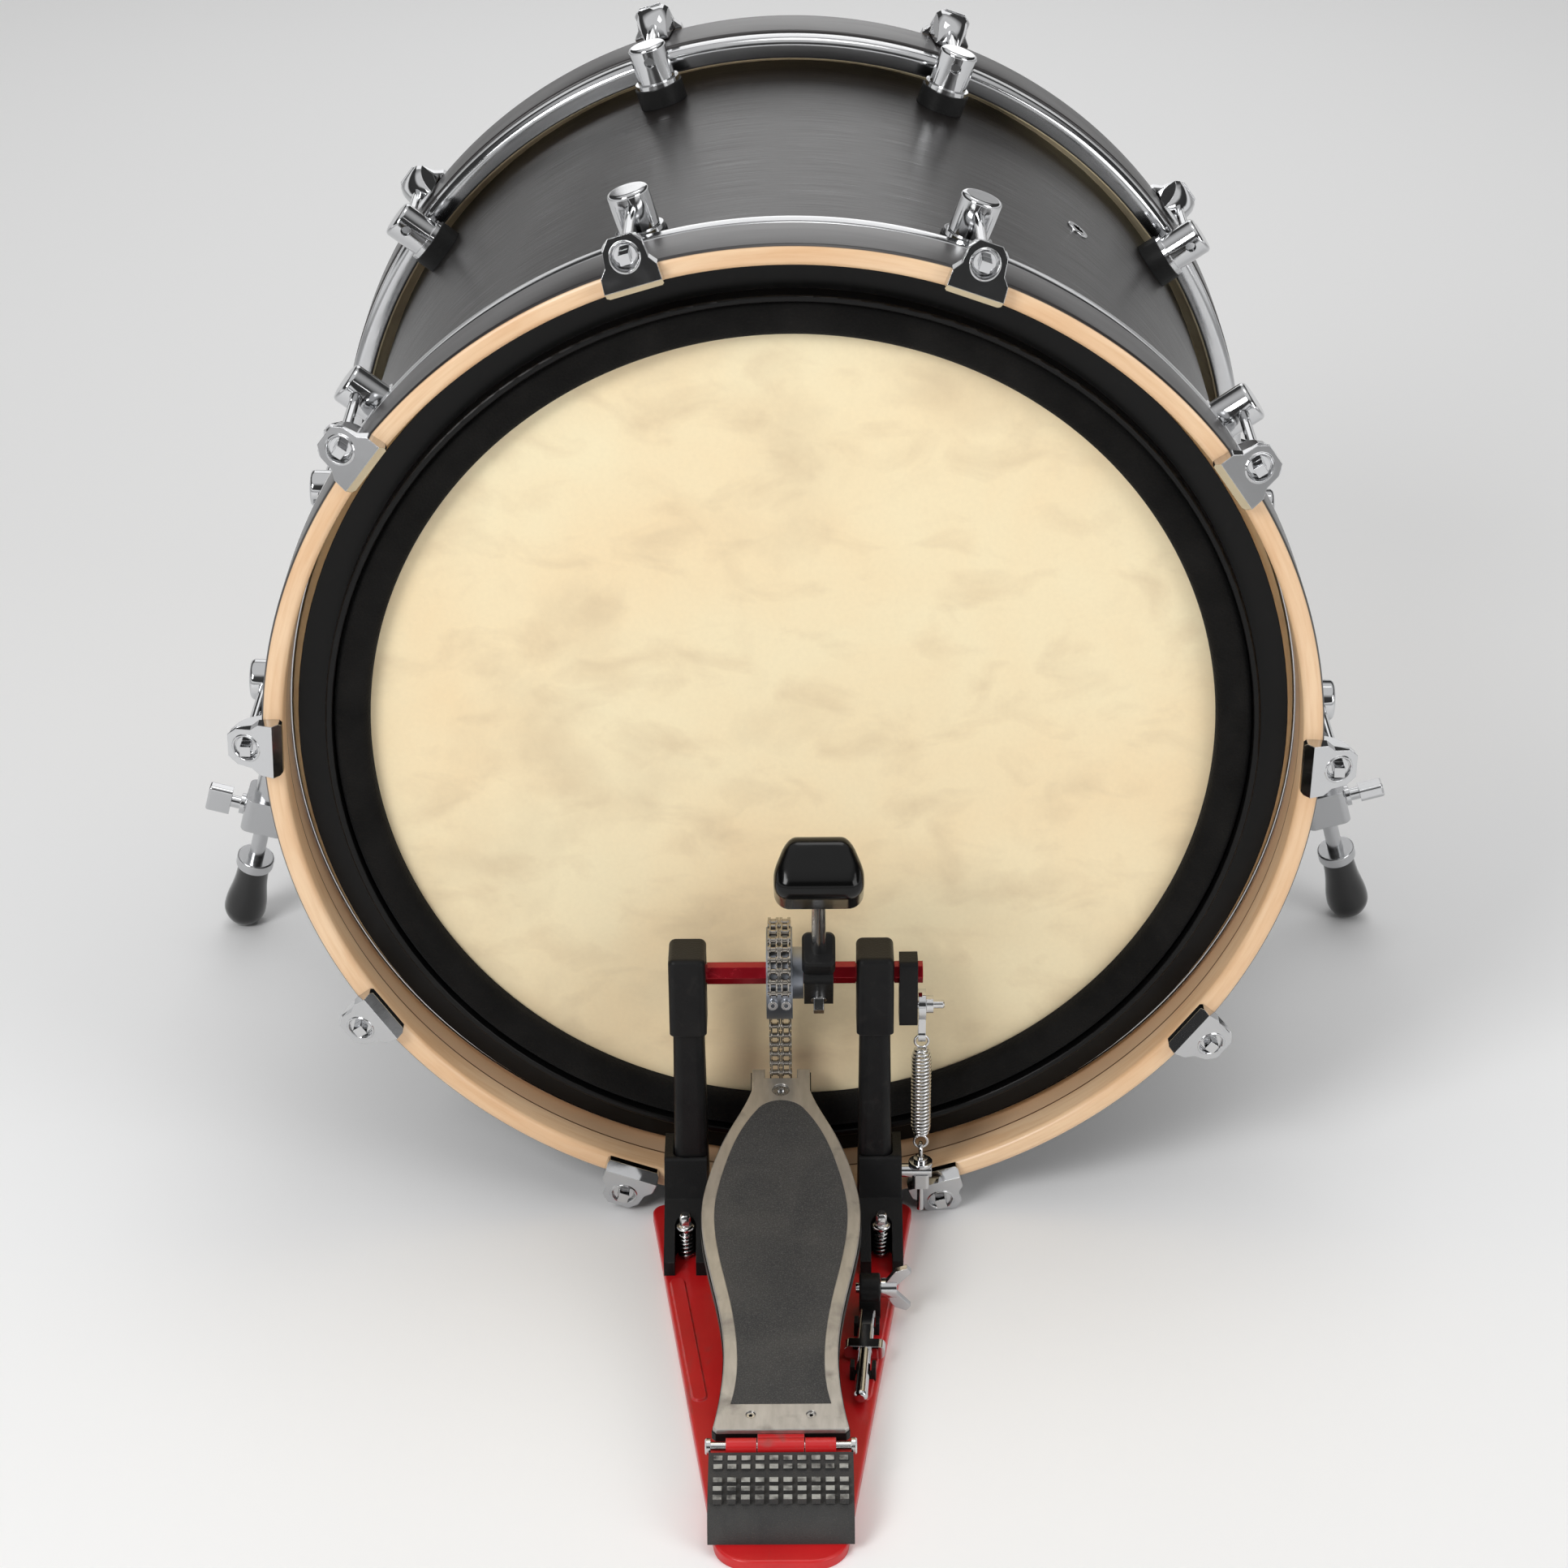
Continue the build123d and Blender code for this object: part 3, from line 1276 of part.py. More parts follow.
# ---------------------------------------------------------------- pedal: beater
lean = radians(beater_lean)
beater_up = Vector(0, -sin(lean), cos(lean))
beater_side = Plane(
    (beater_x, post_y, shaft_height), x_dir=(0, cos(lean), sin(lean)), z_dir=(1, 0, 0)
)
rod_plane = Plane(beater_side.origin, x_dir=(1, 0, 0), z_dir=beater_up)
with BuildPart() as beater_hub:
    with BuildSketch(beater_side.offset(-hub_width / 2)):
        with Locations((0, (hub_above - hub_below) / 2)):
            RectangleRounded(hub_depth, hub_above + hub_below, hub_corner)
    extrude(amount=hub_width)
    with BuildSketch(shaft_plane):
        RegularPolygon(flat_r + hex_fit, 6, major_radius=False)
    extrude(amount=2 * rocker_x, mode=Mode.SUBTRACT)
    with BuildSketch(rod_plane.offset(hub_above - hub_socket)):
        Circle(beater_rod_r + rod_fit)
    extrude(amount=hub_socket + 1, mode=Mode.SUBTRACT)
    with BuildSketch(Plane(beater_side.origin, x_dir=(1, 0, 0), z_dir=-beater_side.x_dir)):
        with Locations((0, -hub_screw_drop)):
            Circle(hub_screw_r + hub_screw_clear)
    extrude(amount=hub_depth, mode=Mode.SUBTRACT)
save(beater_hub, "beater_hub")

screw_plane = Plane(beater_side.origin, x_dir=(1, 0, 0), z_dir=-beater_side.x_dir)
with BuildPart() as drive_screws:
    with BuildSketch(screw_plane.offset(flat_r + hub_screw_gap)):
        with Locations((0, -hub_screw_drop)):
            Circle(hub_screw_r)
    extrude(amount=hub_depth / 2 - flat_r)
    with BuildSketch(screw_plane.offset(hub_depth / 2)):
        with Locations((0, -hub_screw_drop)):
            Circle(hub_screw_flange_r)
    extrude(amount=hub_screw_flange)
    with BuildSketch(screw_plane.offset(hub_depth / 2 + hub_screw_flange)):
        with Locations((0, -hub_screw_drop)):
            RectangleRounded(hub_screw_square, hub_screw_square, key_corner)
    extrude(amount=hub_screw_head)
    with BuildSketch(end_screw_plane.offset(wheel_r - end_screw_seat)):
        with Locations((-end_screw_x, -end_screw_drop), (end_screw_x, -end_screw_drop)):
            Circle(end_screw_r)
            RegularPolygon(end_hex_r, 6, mode=Mode.SUBTRACT)
    extrude(amount=end_screw_reach)

with BuildPart() as memory_lock:
    with BuildSketch(rod_plane.offset(hub_above + lock_gap)):
        RectangleRounded(lock_width, lock_depth, lock_corner)
        Circle(beater_rod_r, mode=Mode.SUBTRACT)
    extrude(amount=lock_height)
    lock_top = memory_lock.faces().sort_by(Axis(beater_side.origin, beater_up))[-1]
    chamfer(lock_top.outer_wire().edges(), lock_chamfer)
save(memory_lock, "memory_lock")

head_centre = beater_side.origin + beater_up * beater_length
beater_front = (
    post_from_middle - half_length - film - beater_clear - beater_length * sin(radians(swing) - lean)
)
tip = radians(swing)
head_plane = Plane(head_centre, x_dir=(1, 0, 0), z_dir=(0, -cos(tip), -sin(tip)))
with BuildPart() as beater_rod:
    with BuildSketch(rod_plane.offset(hub_above - hub_socket + socket_gap)):
        Circle(beater_rod_r)
    extrude(amount=beater_length - hub_above + hub_socket + beater_rod_past)
save(beater_rod, "beater_rod")

with BuildPart() as beater_head:
    with BuildSketch(head_plane.offset(-beater_front)) as head_outline:
        with BuildLine():
            Polyline(
                (-beater_width / 2 + beater_foot_in, -beater_tall / 2),
                (-beater_width / 2, -beater_tall / 2 + beater_foot_up),
                (-beater_width / 2, beater_tall / 2 - beater_top_down),
                (-beater_width / 2 + beater_top_in, beater_tall / 2),
                (beater_width / 2 - beater_top_in, beater_tall / 2),
                (beater_width / 2, beater_tall / 2 - beater_top_down),
                (beater_width / 2, -beater_tall / 2 + beater_foot_up),
                (beater_width / 2 - beater_foot_in, -beater_tall / 2),
                close=True,
            )
        make_face()
        fillet(head_outline.vertices(), beater_round)
    extrude(amount=beater_front + beater_back)
    ends = beater_head.faces().sort_by(Axis(head_centre, head_plane.z_dir))
    fillet(ends[-1].edges() + ends[0].edges(), beater_round)
    with BuildSketch(rod_plane.offset(beater_length - beater_tall)):
        Circle(beater_rod_r)
    extrude(amount=beater_tall + beater_rod_past + socket_gap, mode=Mode.SUBTRACT)
save(beater_head, "beater_head")

# ---------------------------------------------------------------- pedal: return spring
rocker_face = rocker_x + rocker_width / 2
with BuildPart() as spring_rocker:
    with BuildSketch(shaft_plane.offset(rocker_x - rocker_width / 2)):
        with Locations((0, (rocker_above - rocker_below) / 2)):
            RectangleRounded(rocker_depth, rocker_above + rocker_below, rocker_corner)
        RegularPolygon(flat_r + hex_fit, 6, major_radius=False, mode=Mode.SUBTRACT)
    extrude(amount=rocker_width)
    with BuildSketch(shaft_plane.offset(rocker_face)):
        with Locations((0, -rocker_pin_drop)):
            Circle(rocker_pin_r)
    extrude(amount=-rocker_pin_seat, mode=Mode.SUBTRACT)
save(spring_rocker, "spring_rocker")

link_x = spring_x - link_thick / 2
with BuildPart() as rocker_pin:
    with BuildSketch(shaft_plane.offset(rocker_face - rocker_pin_seat)):
        with Locations((0, -rocker_pin_drop)):
            Circle(rocker_pin_r)
    extrude(amount=rocker_pin_end - rocker_face + rocker_pin_seat)
    with BuildSketch(shaft_plane.offset(link_x + link_thick + rocker_collar_gap)):
        with Locations((0, -rocker_pin_drop)):
            Circle(rocker_collar_r)
    extrude(amount=rocker_collar)
    chamfer(rocker_pin.faces().sort_by(Axis.X)[-1].edges(), pin_chamfer)
save_group([drive_screws, rocker_pin], "drive_screws")

loop_top_z = spring_top + loop_r + wire_r
hole_drop = shaft_height - loop_top_z - loop_r
with BuildPart() as spring_link:
    with BuildSketch(shaft_plane.offset(link_x)):
        with Locations((0, -rocker_pin_drop)):
            Circle(link_ring_r)
        with Locations((0, -(rocker_pin_drop + hole_drop) / 2)):
            Rectangle(link_bar, hole_drop - rocker_pin_drop)
        with Locations((0, -hole_drop + link_eye_up)):
            Circle(link_eye_r)
            Circle(link_eye_bore_r, mode=Mode.SUBTRACT)
        with Locations((0, -rocker_pin_drop)):
            Circle(rocker_pin_r + pin_fit, mode=Mode.SUBTRACT)
    extrude(amount=link_thick)
save(spring_link, "spring_link")

loop_bottom_z = spring_bottom - loop_r - wire_r
with BuildPart() as spring:
    with BuildSketch(Plane((spring_x, post_y, spring_bottom))):
        Circle(spring_r)
        Circle(spring_r - 2 * wire_r, mode=Mode.SUBTRACT)
    extrude(amount=spring_top - spring_bottom)
    # the last turn at each end crosses the coil before it bends up into its loop
    for end in (spring_bottom, spring_top):
        with BuildSketch(Plane((spring_x, post_y, end - wire_r))):
            Circle(spring_r - wire_r)
        extrude(amount=2 * wire_r)
    for height in (loop_bottom_z, loop_top_z):
        loop_plane = Plane((spring_x, post_y, height), x_dir=(1, 0, 0), z_dir=(0, 0, 1))
        with BuildSketch(loop_plane):
            with Locations((loop_r, 0)):
                Circle(wire_r)
        revolve(axis=Axis((spring_x, post_y, height), (0, 1, 0)))
save(spring, "spring")

arm_start = right_post_x + anchor_offset + anchor_width / 2
eye_z = loop_bottom_z - 2 * loop_r + wire_r + eye_wire_r + eye_clear
nut_seat = arm_height + arm_r
with BuildPart() as spring_arm:
    with BuildSketch(Plane((arm_start, post_y, arm_height), x_dir=(0, 1, 0), z_dir=(1, 0, 0))):
        Circle(arm_r)
    extrude(amount=arm_end - arm_start)
    with BuildSketch(Plane((spring_x, post_y, arm_height - arm_r - arm_block_below))):
        RectangleRounded(arm_block, arm_block, arm_block_corner)
    extrude(amount=arm_block_height)
    with BuildSketch(Plane((spring_x, post_y, 0))):
        Circle(stud_r + stud_clear)
    extrude(amount=2 * arm_height, mode=Mode.SUBTRACT)
save(spring_arm, "spring_arm")

with BuildPart() as spring_tensioner:
    loop_plane = Plane((spring_x, post_y, eye_z), x_dir=(0, 1, 0), z_dir=(0, 0, 1))
    with BuildSketch(loop_plane):
        with Locations((loop_r, 0)):
            Circle(eye_wire_r)
    revolve(axis=Axis((spring_x, post_y, eye_z), (1, 0, 0)))
    with BuildSketch(Plane((spring_x, post_y, stud_foot))):
        Circle(stud_r)
    extrude(amount=eye_z - loop_r - stud_foot)

with BuildPart() as tension_nut:
    with BuildSketch(Plane((spring_x, post_y, nut_seat))):
        Circle(tension_nut_r)
    extrude(amount=tension_nut_height)
    with BuildSketch(Plane((spring_x, post_y, nut_seat + tension_nut_height))):
        Circle(tension_nut_collar_r)
    extrude(amount=eye_z - loop_r - eye_wire_r - nut_seat - tension_nut_height - tension_nut_gap)
    with BuildSketch(Plane((spring_x, post_y, nut_seat))):
        Circle(stud_r)
    extrude(amount=eye_z - nut_seat, mode=Mode.SUBTRACT)
    fillet(tension_nut.edges().filter_by(GeomType.CIRCLE).group_by(SortBy.RADIUS)[-1], tension_nut_round)
save_group([spring_tensioner, tension_nut], "spring_tensioner")

# ---------------------------------------------------------------- pedal: hoop clamp
hoop_face_y = row_y(hoop_front)
jaw_pivot_y = hoop_face_y - jaw_pivot_from_hoop
jaw_plane = Plane((pedal_x, 0, 0), x_dir=(0, 1, 0), z_dir=(1, 0, 0))
hoop_floor = axis_height - hoop_inner_r
with BuildPart() as hoop_jaw:
    with BuildSketch(jaw_plane):
        with Locations((jaw_pivot_y, jaw_pivot_height)):
            Circle(jaw_knuckle_r)
        with BuildLine():
            Polyline(
                (jaw_pivot_y, jaw_pivot_height - jaw_lower),
                (hoop_face_y - jaw_face_gap, jaw_pivot_height - jaw_drop),
                (hoop_face_y - jaw_face_gap, hoop_floor),
                (hoop_face_y + jaw_reach, hoop_floor),
                (hoop_face_y + jaw_reach, hoop_floor + jaw_thick - jaw_taper),
                (hoop_face_y, hoop_floor + jaw_thick),
                (jaw_pivot_y, jaw_pivot_height + jaw_upper),
                close=True,
            )
        make_face()
    extrude(amount=jaw_width / 2, both=True)
    with BuildSketch(Plane((0, hoop_face_y - jaw_hoop_gap, axis_height), x_dir=(1, 0, 0), z_dir=(0, 1, 0))):
        Circle(hoop_r + 2)
        Circle(hoop_inner_r - jaw_hoop_gap, mode=Mode.SUBTRACT)
    extrude(amount=hoop_width, mode=Mode.SUBTRACT)
    with BuildSketch(jaw_plane):
        with Locations((jaw_pivot_y, jaw_pivot_height)):
            Circle(jaw_pin_r + pin_fit)
    extrude(amount=jaw_width, both=True, mode=Mode.SUBTRACT)
save(hoop_jaw, "hoop_jaw")

with BuildPart() as jaw_bracket:
    for way in (-1, 1):
        with BuildSketch(jaw_plane.offset(way * (jaw_width / 2 + bracket_gap))):
            with Locations((jaw_pivot_y, jaw_pivot_height)):
                Circle(jaw_knuckle_r)
            with Locations((jaw_pivot_y, (jaw_pivot_height + base_thick) / 2)):
                Rectangle(2 * jaw_knuckle_r, jaw_pivot_height - base_thick)
            with Locations((jaw_pivot_y, jaw_pivot_height)):
                Circle(jaw_pin_r, mode=Mode.SUBTRACT)
        extrude(amount=way * bracket_wall)

with BuildPart() as jaw_pin:
    with BuildSketch(jaw_plane):
        with Locations((jaw_pivot_y, jaw_pivot_height)):
            Circle(jaw_pin_r)
    extrude(amount=jaw_width / 2 + jaw_pin_past, both=True)
save_group([hinge_pin, jaw_pin], "pedal_pins")

wing_plane = Plane((wing_x, row_y(hoop_front + wing_from_hoop), wing_height), x_dir=(0, 1, 0), z_dir=(1, 0, 0))
with BuildPart() as clamp_boss:
    with BuildSketch(wing_plane):
        Circle(clamp_boss_r)
        with Locations((0, (base_thick - wing_height) / 2)):
            Rectangle(clamp_boss_width, wing_height - base_thick)
    extrude(amount=-clamp_boss_depth)
    boss_round = clamp_boss.faces().filter_by(GeomType.CYLINDER).edges().filter_by(GeomType.CIRCLE)
    fillet(boss_round, clamp_boss_round)
    with BuildSketch(wing_plane):
        Circle(wing_screw_r + spur_fit)
    extrude(amount=-2 * clamp_boss_depth, mode=Mode.SUBTRACT)
    add(base_plate.part, mode=Mode.SUBTRACT)

wing_outline = (
    (1.5, wing_root),
    (8.5, wing_span * 0.42),
    (15.0, wing_span * 0.5),
    (17.5, wing_span * 0.4),
    (9.2, wing_root),
)
wing_side = Plane(wing_plane.origin, x_dir=(1, 0, 0), z_dir=(0, -1, 0)).rotated((wing_turn, 0, 0))
with BuildPart() as wing_screw:
    with BuildSketch(wing_plane):
        Circle(wing_screw_r)
    extrude(amount=-wing_screw_depth)
    with BuildSketch(wing_plane.offset(wing_gap)):
        Circle(wing_hub_r)
    extrude(amount=wing_hub)
    with BuildSketch(wing_plane):
        Circle(wing_screw_r)
    extrude(amount=2 * wing_gap)
    with BuildSketch(wing_side):
        for way in (-1, 1):
            with BuildLine():
                Polyline(*[(out_x, way * across) for out_x, across in wing_outline], close=True)
            make_face()
    extrude(amount=wing_wall / 2, both=True)
save(wing_screw, "wing_screw")

# ---------------------------------------------------------------- pedal: drum key kept on the base plate
key_z = base_thick + key_rise
key_tilt = Plane((pedal_x + key_out, row_y(hoop_front + key_from_hoop), key_z)).rotated((0, 0, -key_lean))
key_run = Plane(key_tilt.origin, x_dir=key_tilt.x_dir, z_dir=-key_tilt.y_dir)
with BuildPart() as drum_key:
    with BuildSketch(key_run):
        RectangleRounded(key_width, key_thick, key_edge)
        Rectangle(key_square + 2 * key_clear, key_square + 2 * key_clear, mode=Mode.SUBTRACT)
    extrude(amount=key_bore)
    with BuildSketch(key_run.offset(key_bore)):
        RectangleRounded(key_width, key_thick, key_edge)
    extrude(amount=key_socket_end - key_bore)
    with BuildSketch(key_run.offset(key_socket_end)):
        RectangleRounded(key_bar, key_thick, key_bar_corner)
    extrude(amount=key_bar_end - key_socket_end)
    with BuildSketch(key_run.offset(key_bar_end)):
        Circle(key_thick / 2)
    extrude(amount=key_length - key_bar_end)
    fillet(drum_key.faces().sort_by(Axis.Y)[0].edges(), key_tip_round)
save(drum_key, "drum_key")

clip_pad = key_rise - key_thick / 2 - clip_gap
with BuildPart() as key_clip:
    for start in clip_starts:
        with BuildSketch(key_run.offset(start)):
            with Locations((0, -key_thick / 2 - clip_gap - clip_pad / 2)):
                Rectangle(clip_width, clip_pad)
            with Locations((-clip_out, -clip_middle_drop), (clip_out, -clip_middle_drop)):
                Rectangle(clip_wall, clip_height)
        extrude(amount=clip_length)
    add(base_plate.part, mode=Mode.SUBTRACT)
save_group([jaw_bracket, clamp_boss, key_clip], "pedal_brackets")
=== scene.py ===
# %% [markdown]
# # A bass drum and its foot pedal
# The drum is a wooden shell with a head and a wooden hoop at each end, held by claws and rods. A pedal
# is clamped to the hoop on the player's side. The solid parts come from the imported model, already in
# place and in metres. This lesson gives them their finishes, and builds again the pieces that need
# finer shapes: the claws, the beater, the roller chain, the springs, the foam and the turned rings.

import bpy
import bmesh
from itertools import product
from math import asin, cos, pi, radians, sin
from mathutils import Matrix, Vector
from mathutils.geometry import tessellate_polygon


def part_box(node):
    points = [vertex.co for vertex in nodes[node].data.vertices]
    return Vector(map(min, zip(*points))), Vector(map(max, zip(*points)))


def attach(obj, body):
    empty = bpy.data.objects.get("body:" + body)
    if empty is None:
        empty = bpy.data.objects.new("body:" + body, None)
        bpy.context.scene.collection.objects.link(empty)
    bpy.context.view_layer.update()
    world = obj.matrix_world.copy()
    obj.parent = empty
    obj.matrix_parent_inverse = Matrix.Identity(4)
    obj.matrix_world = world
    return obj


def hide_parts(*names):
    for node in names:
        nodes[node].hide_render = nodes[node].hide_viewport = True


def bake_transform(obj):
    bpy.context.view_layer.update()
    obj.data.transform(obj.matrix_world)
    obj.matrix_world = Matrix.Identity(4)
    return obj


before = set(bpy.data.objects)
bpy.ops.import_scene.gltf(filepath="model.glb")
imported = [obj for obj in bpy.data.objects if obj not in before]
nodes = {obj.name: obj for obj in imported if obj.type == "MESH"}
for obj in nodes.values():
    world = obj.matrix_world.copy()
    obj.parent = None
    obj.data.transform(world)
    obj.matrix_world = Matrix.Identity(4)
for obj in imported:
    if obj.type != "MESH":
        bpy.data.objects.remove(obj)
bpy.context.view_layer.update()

# %% [markdown]
# ## Where things are
# Every place is read from the frame. The drum's axis is the middle of its shell, and the pedal's
# shaft is the middle of the hexagonal bar, so a change of size in the model carries through here.

# %% Places that many pieces share
MM = 0.001


def middle(node):
    """The middle of a node's box."""
    low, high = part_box(node)
    return (low + high) / 2


drum_middle = middle("shell")
shaft_middle = middle("drive_shaft")
hoop_low, hoop_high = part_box("batter_hoop")
hoop_r = (hoop_high.z - hoop_low.z) / 2
hoop_face = drum_middle.y - hoop_low.y
print("drum axis height", round(drum_middle.z, 4), "hoop radius", round(hoop_r, 4))

# %% [markdown]
# ## The camera
# A long lens, on the player's side and above the drum, so that the drum's top and the pedal's length
# both show. It looks down by about 26 degrees. Turning it further would tilt the hoops, so a slight
# shift of its picture does the last of the centring.

# %% Camera
CAMERA_ASIDE = 0.0054
CAMERA_BACK = 2.0795
CAMERA_UP = 0.9059
CAMERA_TURN = (63.52, 0.529, 0.109)
scene = bpy.context.scene
camera_data = bpy.data.cameras.new("camera")
camera_data.lens = 83.5
camera_data.sensor_width = 36.0
camera_data.shift_x = 0.0016
camera_data.shift_y = -0.006
camera_data.clip_end = 50
camera = bpy.data.objects.new("camera", camera_data)
scene.collection.objects.link(camera)
camera.location = (CAMERA_ASIDE, drum_middle.y - CAMERA_BACK, drum_middle.z + CAMERA_UP)
camera.rotation_euler = [radians(angle) for angle in CAMERA_TURN]
scene.camera = camera
scene.view_settings.view_transform = "Standard"
print("camera", [round(c, 3) for c in camera.location], "down", round(90 - CAMERA_TURN[0], 1), "degrees")

# %% [markdown]
# ## Floor and light
# The floor is plain and pale and runs to a pale horizon. Above it the room is dark, and overhead it is
# bright: a mirror finish shows only what surrounds it, so an even white room would leave the chrome
# flat. Four soft lamps stand round the drum, and the one behind it lights the top of the shell.

# %% Helpers for node trees
def add_node(tree, kind, **settings):
    """One shader node. Settings are its attributes, or the values of sockets named in_Name."""
    made = tree.nodes.new(kind)
    for key, value in settings.items():
        if key.startswith("in_"):
            made.inputs[key[3:].replace("_", " ")].default_value = value
        else:
            setattr(made, key, value)
    return made


def wire(tree, pairs):
    """Join sockets of a tree. Each pair is an output and the input that it feeds."""
    for source, target in pairs:
        tree.links.new(source, target)


def new_material(name):
    """A material with an empty tree but for its Principled shader."""
    material = bpy.data.materials.new(name)
    material.use_nodes = True
    shader = material.node_tree.nodes["Principled BSDF"]
    return material, material.node_tree, shader


# %% A pale floor
REACH = 60.0
FLOOR_GREY = 0.93
floor_corners = [(-REACH, -REACH, 0), (REACH, -REACH, 0), (REACH, REACH, 0), (-REACH, REACH, 0)]
floor_data = bpy.data.meshes.new("floor")
floor_data.from_pydata(floor_corners, [], [(0, 1, 2, 3)])
floor = bpy.data.objects.new("floor", floor_data)
scene.collection.objects.link(floor)
floor_material, tree, shader = new_material("floor_paint")
shader.inputs["Base Color"].default_value = (FLOOR_GREY, FLOOR_GREY, FLOOR_GREY, 1)
shader.inputs["Roughness"].default_value = 0.8
floor_data.materials.append(floor_material)
print("floor:", 2 * REACH, "m square")

# %% The room, as a band of greys from the floor to overhead
SKY_STRENGTH = 1.18
# each stop is (height, grey): height is 0 straight down, 0.5 at the horizon and 1 overhead
SKY_STOPS = [(0.50, 0.38), (0.54, 0.80), (0.585, 0.80), (0.615, 0.035), (0.80, 0.05), (0.90, 0.66)]
world = bpy.data.worlds.new("studio")
scene.world = world
world.use_nodes = True
sky = world.node_tree
sky.nodes.clear()
out = sky.nodes.new("ShaderNodeOutputWorld")
place = sky.nodes.new("ShaderNodeTexCoord")
height = sky.nodes.new("ShaderNodeSeparateXYZ")
band = sky.nodes.new("ShaderNodeValToRGB")
while len(band.color_ramp.elements) < len(SKY_STOPS):
    band.color_ramp.elements.new(0.5)
for stop, (place_up, grey) in zip(band.color_ramp.elements, SKY_STOPS):
    stop.position = place_up
    stop.color = (grey, grey, grey, 1)
lift = add_node(sky, "ShaderNodeMath", operation="MULTIPLY_ADD")
lift.inputs[1].default_value = 0.5
lift.inputs[2].default_value = 0.5
lit = add_node(sky, "ShaderNodeBackground", in_Strength=SKY_STRENGTH)
wire(sky, [
    (place.outputs["Generated"], height.inputs[0]),
    (height.outputs["Z"], lift.inputs[0]),
    (lift.outputs[0], band.inputs[0]),
    (band.outputs[0], lit.inputs["Color"]),
    (lit.outputs[0], out.inputs[0]),
])
print("room:", len(SKY_STOPS), "greys, strength", SKY_STRENGTH)


# %% Four soft lamps
def lamp(name, place, size, power):
    """A square soft lamp at place, turned towards the drum's middle."""
    data = bpy.data.lights.new(name, "AREA")
    data.size = size
    data.energy = power
    made = bpy.data.objects.new(name, data)
    scene.collection.objects.link(made)
    made.location = place
    made.visible_camera = False
    made.rotation_euler = (drum_middle - Vector(place)).to_track_quat("-Z", "Y").to_euler()


lamp("key_lamp", (-1.7, -2.4, 2.3), size=1.3, power=58)
lamp("fill_lamp", (2.3, -1.9, 1.5), size=1.6, power=26)
lamp("top_lamp", (0.2, 0.5, 3.0), size=1.0, power=8)
lamp("back_lamp", (0.0, 2.9, 1.75), size=1.5, power=9)

# %% [markdown]
# ## Shared effects
# Every effect that more than one finish needs is a node group with named inputs. A group puts out
# only a colour or a mask that changes over the surface; the Principled shader stays in the material.

# %% A helper that starts a group
def new_group(name, inputs, outputs):
    """A shader node group. Each input is name: (kind, default), each output name: kind."""
    group = bpy.data.node_groups.new(name, "ShaderNodeTree")
    for key, (kind, default) in inputs.items():
        socket = group.interface.new_socket(key, in_out="INPUT", socket_type=kind)
        socket.default_value = default
    for key, kind in outputs.items():
        group.interface.new_socket(key, in_out="OUTPUT", socket_type=kind)
    start = group.nodes.new("NodeGroupInput")
    end = group.nodes.new("NodeGroupOutput")
    return group, start, end


FLOAT = "NodeSocketFloat"

# %% Mottle: soft cloudy patches of any size
mottle, start, end = new_group(
    "Mottle",
    {"Scale": (FLOAT, 20.0), "Stretch X": (FLOAT, 1.0), "Stretch Y": (FLOAT, 1.0),
     "Stretch Z": (FLOAT, 1.0), "Detail": (FLOAT, 6.0), "Swirl": (FLOAT, 0.0),
     "Low": (FLOAT, 0.35), "High": (FLOAT, 0.65)},
    {"Mask": FLOAT},
)
spot = mottle.nodes.new("ShaderNodeTexCoord")
stretch = mottle.nodes.new("ShaderNodeCombineXYZ")
scaled = add_node(mottle, "ShaderNodeVectorMath", operation="MULTIPLY")
cloud = mottle.nodes.new("ShaderNodeTexNoise")
fit = mottle.nodes.new("ShaderNodeMapRange")
wire(mottle, [(start.outputs["Stretch " + axis], stretch.inputs[axis]) for axis in "XYZ"])
wire(mottle, [
    (spot.outputs["Object"], scaled.inputs[0]),
    (stretch.outputs[0], scaled.inputs[1]),
    (scaled.outputs[0], cloud.inputs["Vector"]),
    (start.outputs["Scale"], cloud.inputs["Scale"]),
    (start.outputs["Detail"], cloud.inputs["Detail"]),
    (start.outputs["Swirl"], cloud.inputs["Distortion"]),
    (cloud.outputs["Fac"], fit.inputs["Value"]),
    (start.outputs["Low"], fit.inputs["From Min"]),
    (start.outputs["High"], fit.inputs["From Max"]),
    (fit.outputs[0], end.inputs["Mask"]),
])

# %% Edge wear: where a sharp edge has lost its coat
# an edge is where the normal of a slightly rounded surface turns away from the plain one
edge_wear, start, end = new_group(
    "Edge wear",
    {"Width": (FLOAT, 0.0008), "Patches": (FLOAT, 120.0), "Amount": (FLOAT, 0.5)},
    {"Mask": FLOAT},
)
rounded = add_node(edge_wear, "ShaderNodeBevel", samples=6)
plain = edge_wear.nodes.new("ShaderNodeNewGeometry")
turn = add_node(edge_wear, "ShaderNodeVectorMath", operation="DOT_PRODUCT")
sharp = add_node(edge_wear, "ShaderNodeMapRange", in_From_Min=0.995, in_From_Max=0.90)
spot = edge_wear.nodes.new("ShaderNodeTexCoord")
patch = add_node(edge_wear, "ShaderNodeTexNoise", in_Detail=5.0)
broken = add_node(edge_wear, "ShaderNodeMapRange", in_From_Min=0.42, in_From_Max=0.58)
both = add_node(edge_wear, "ShaderNodeMath", operation="MULTIPLY")
amount = add_node(edge_wear, "ShaderNodeMath", operation="MULTIPLY", use_clamp=True)
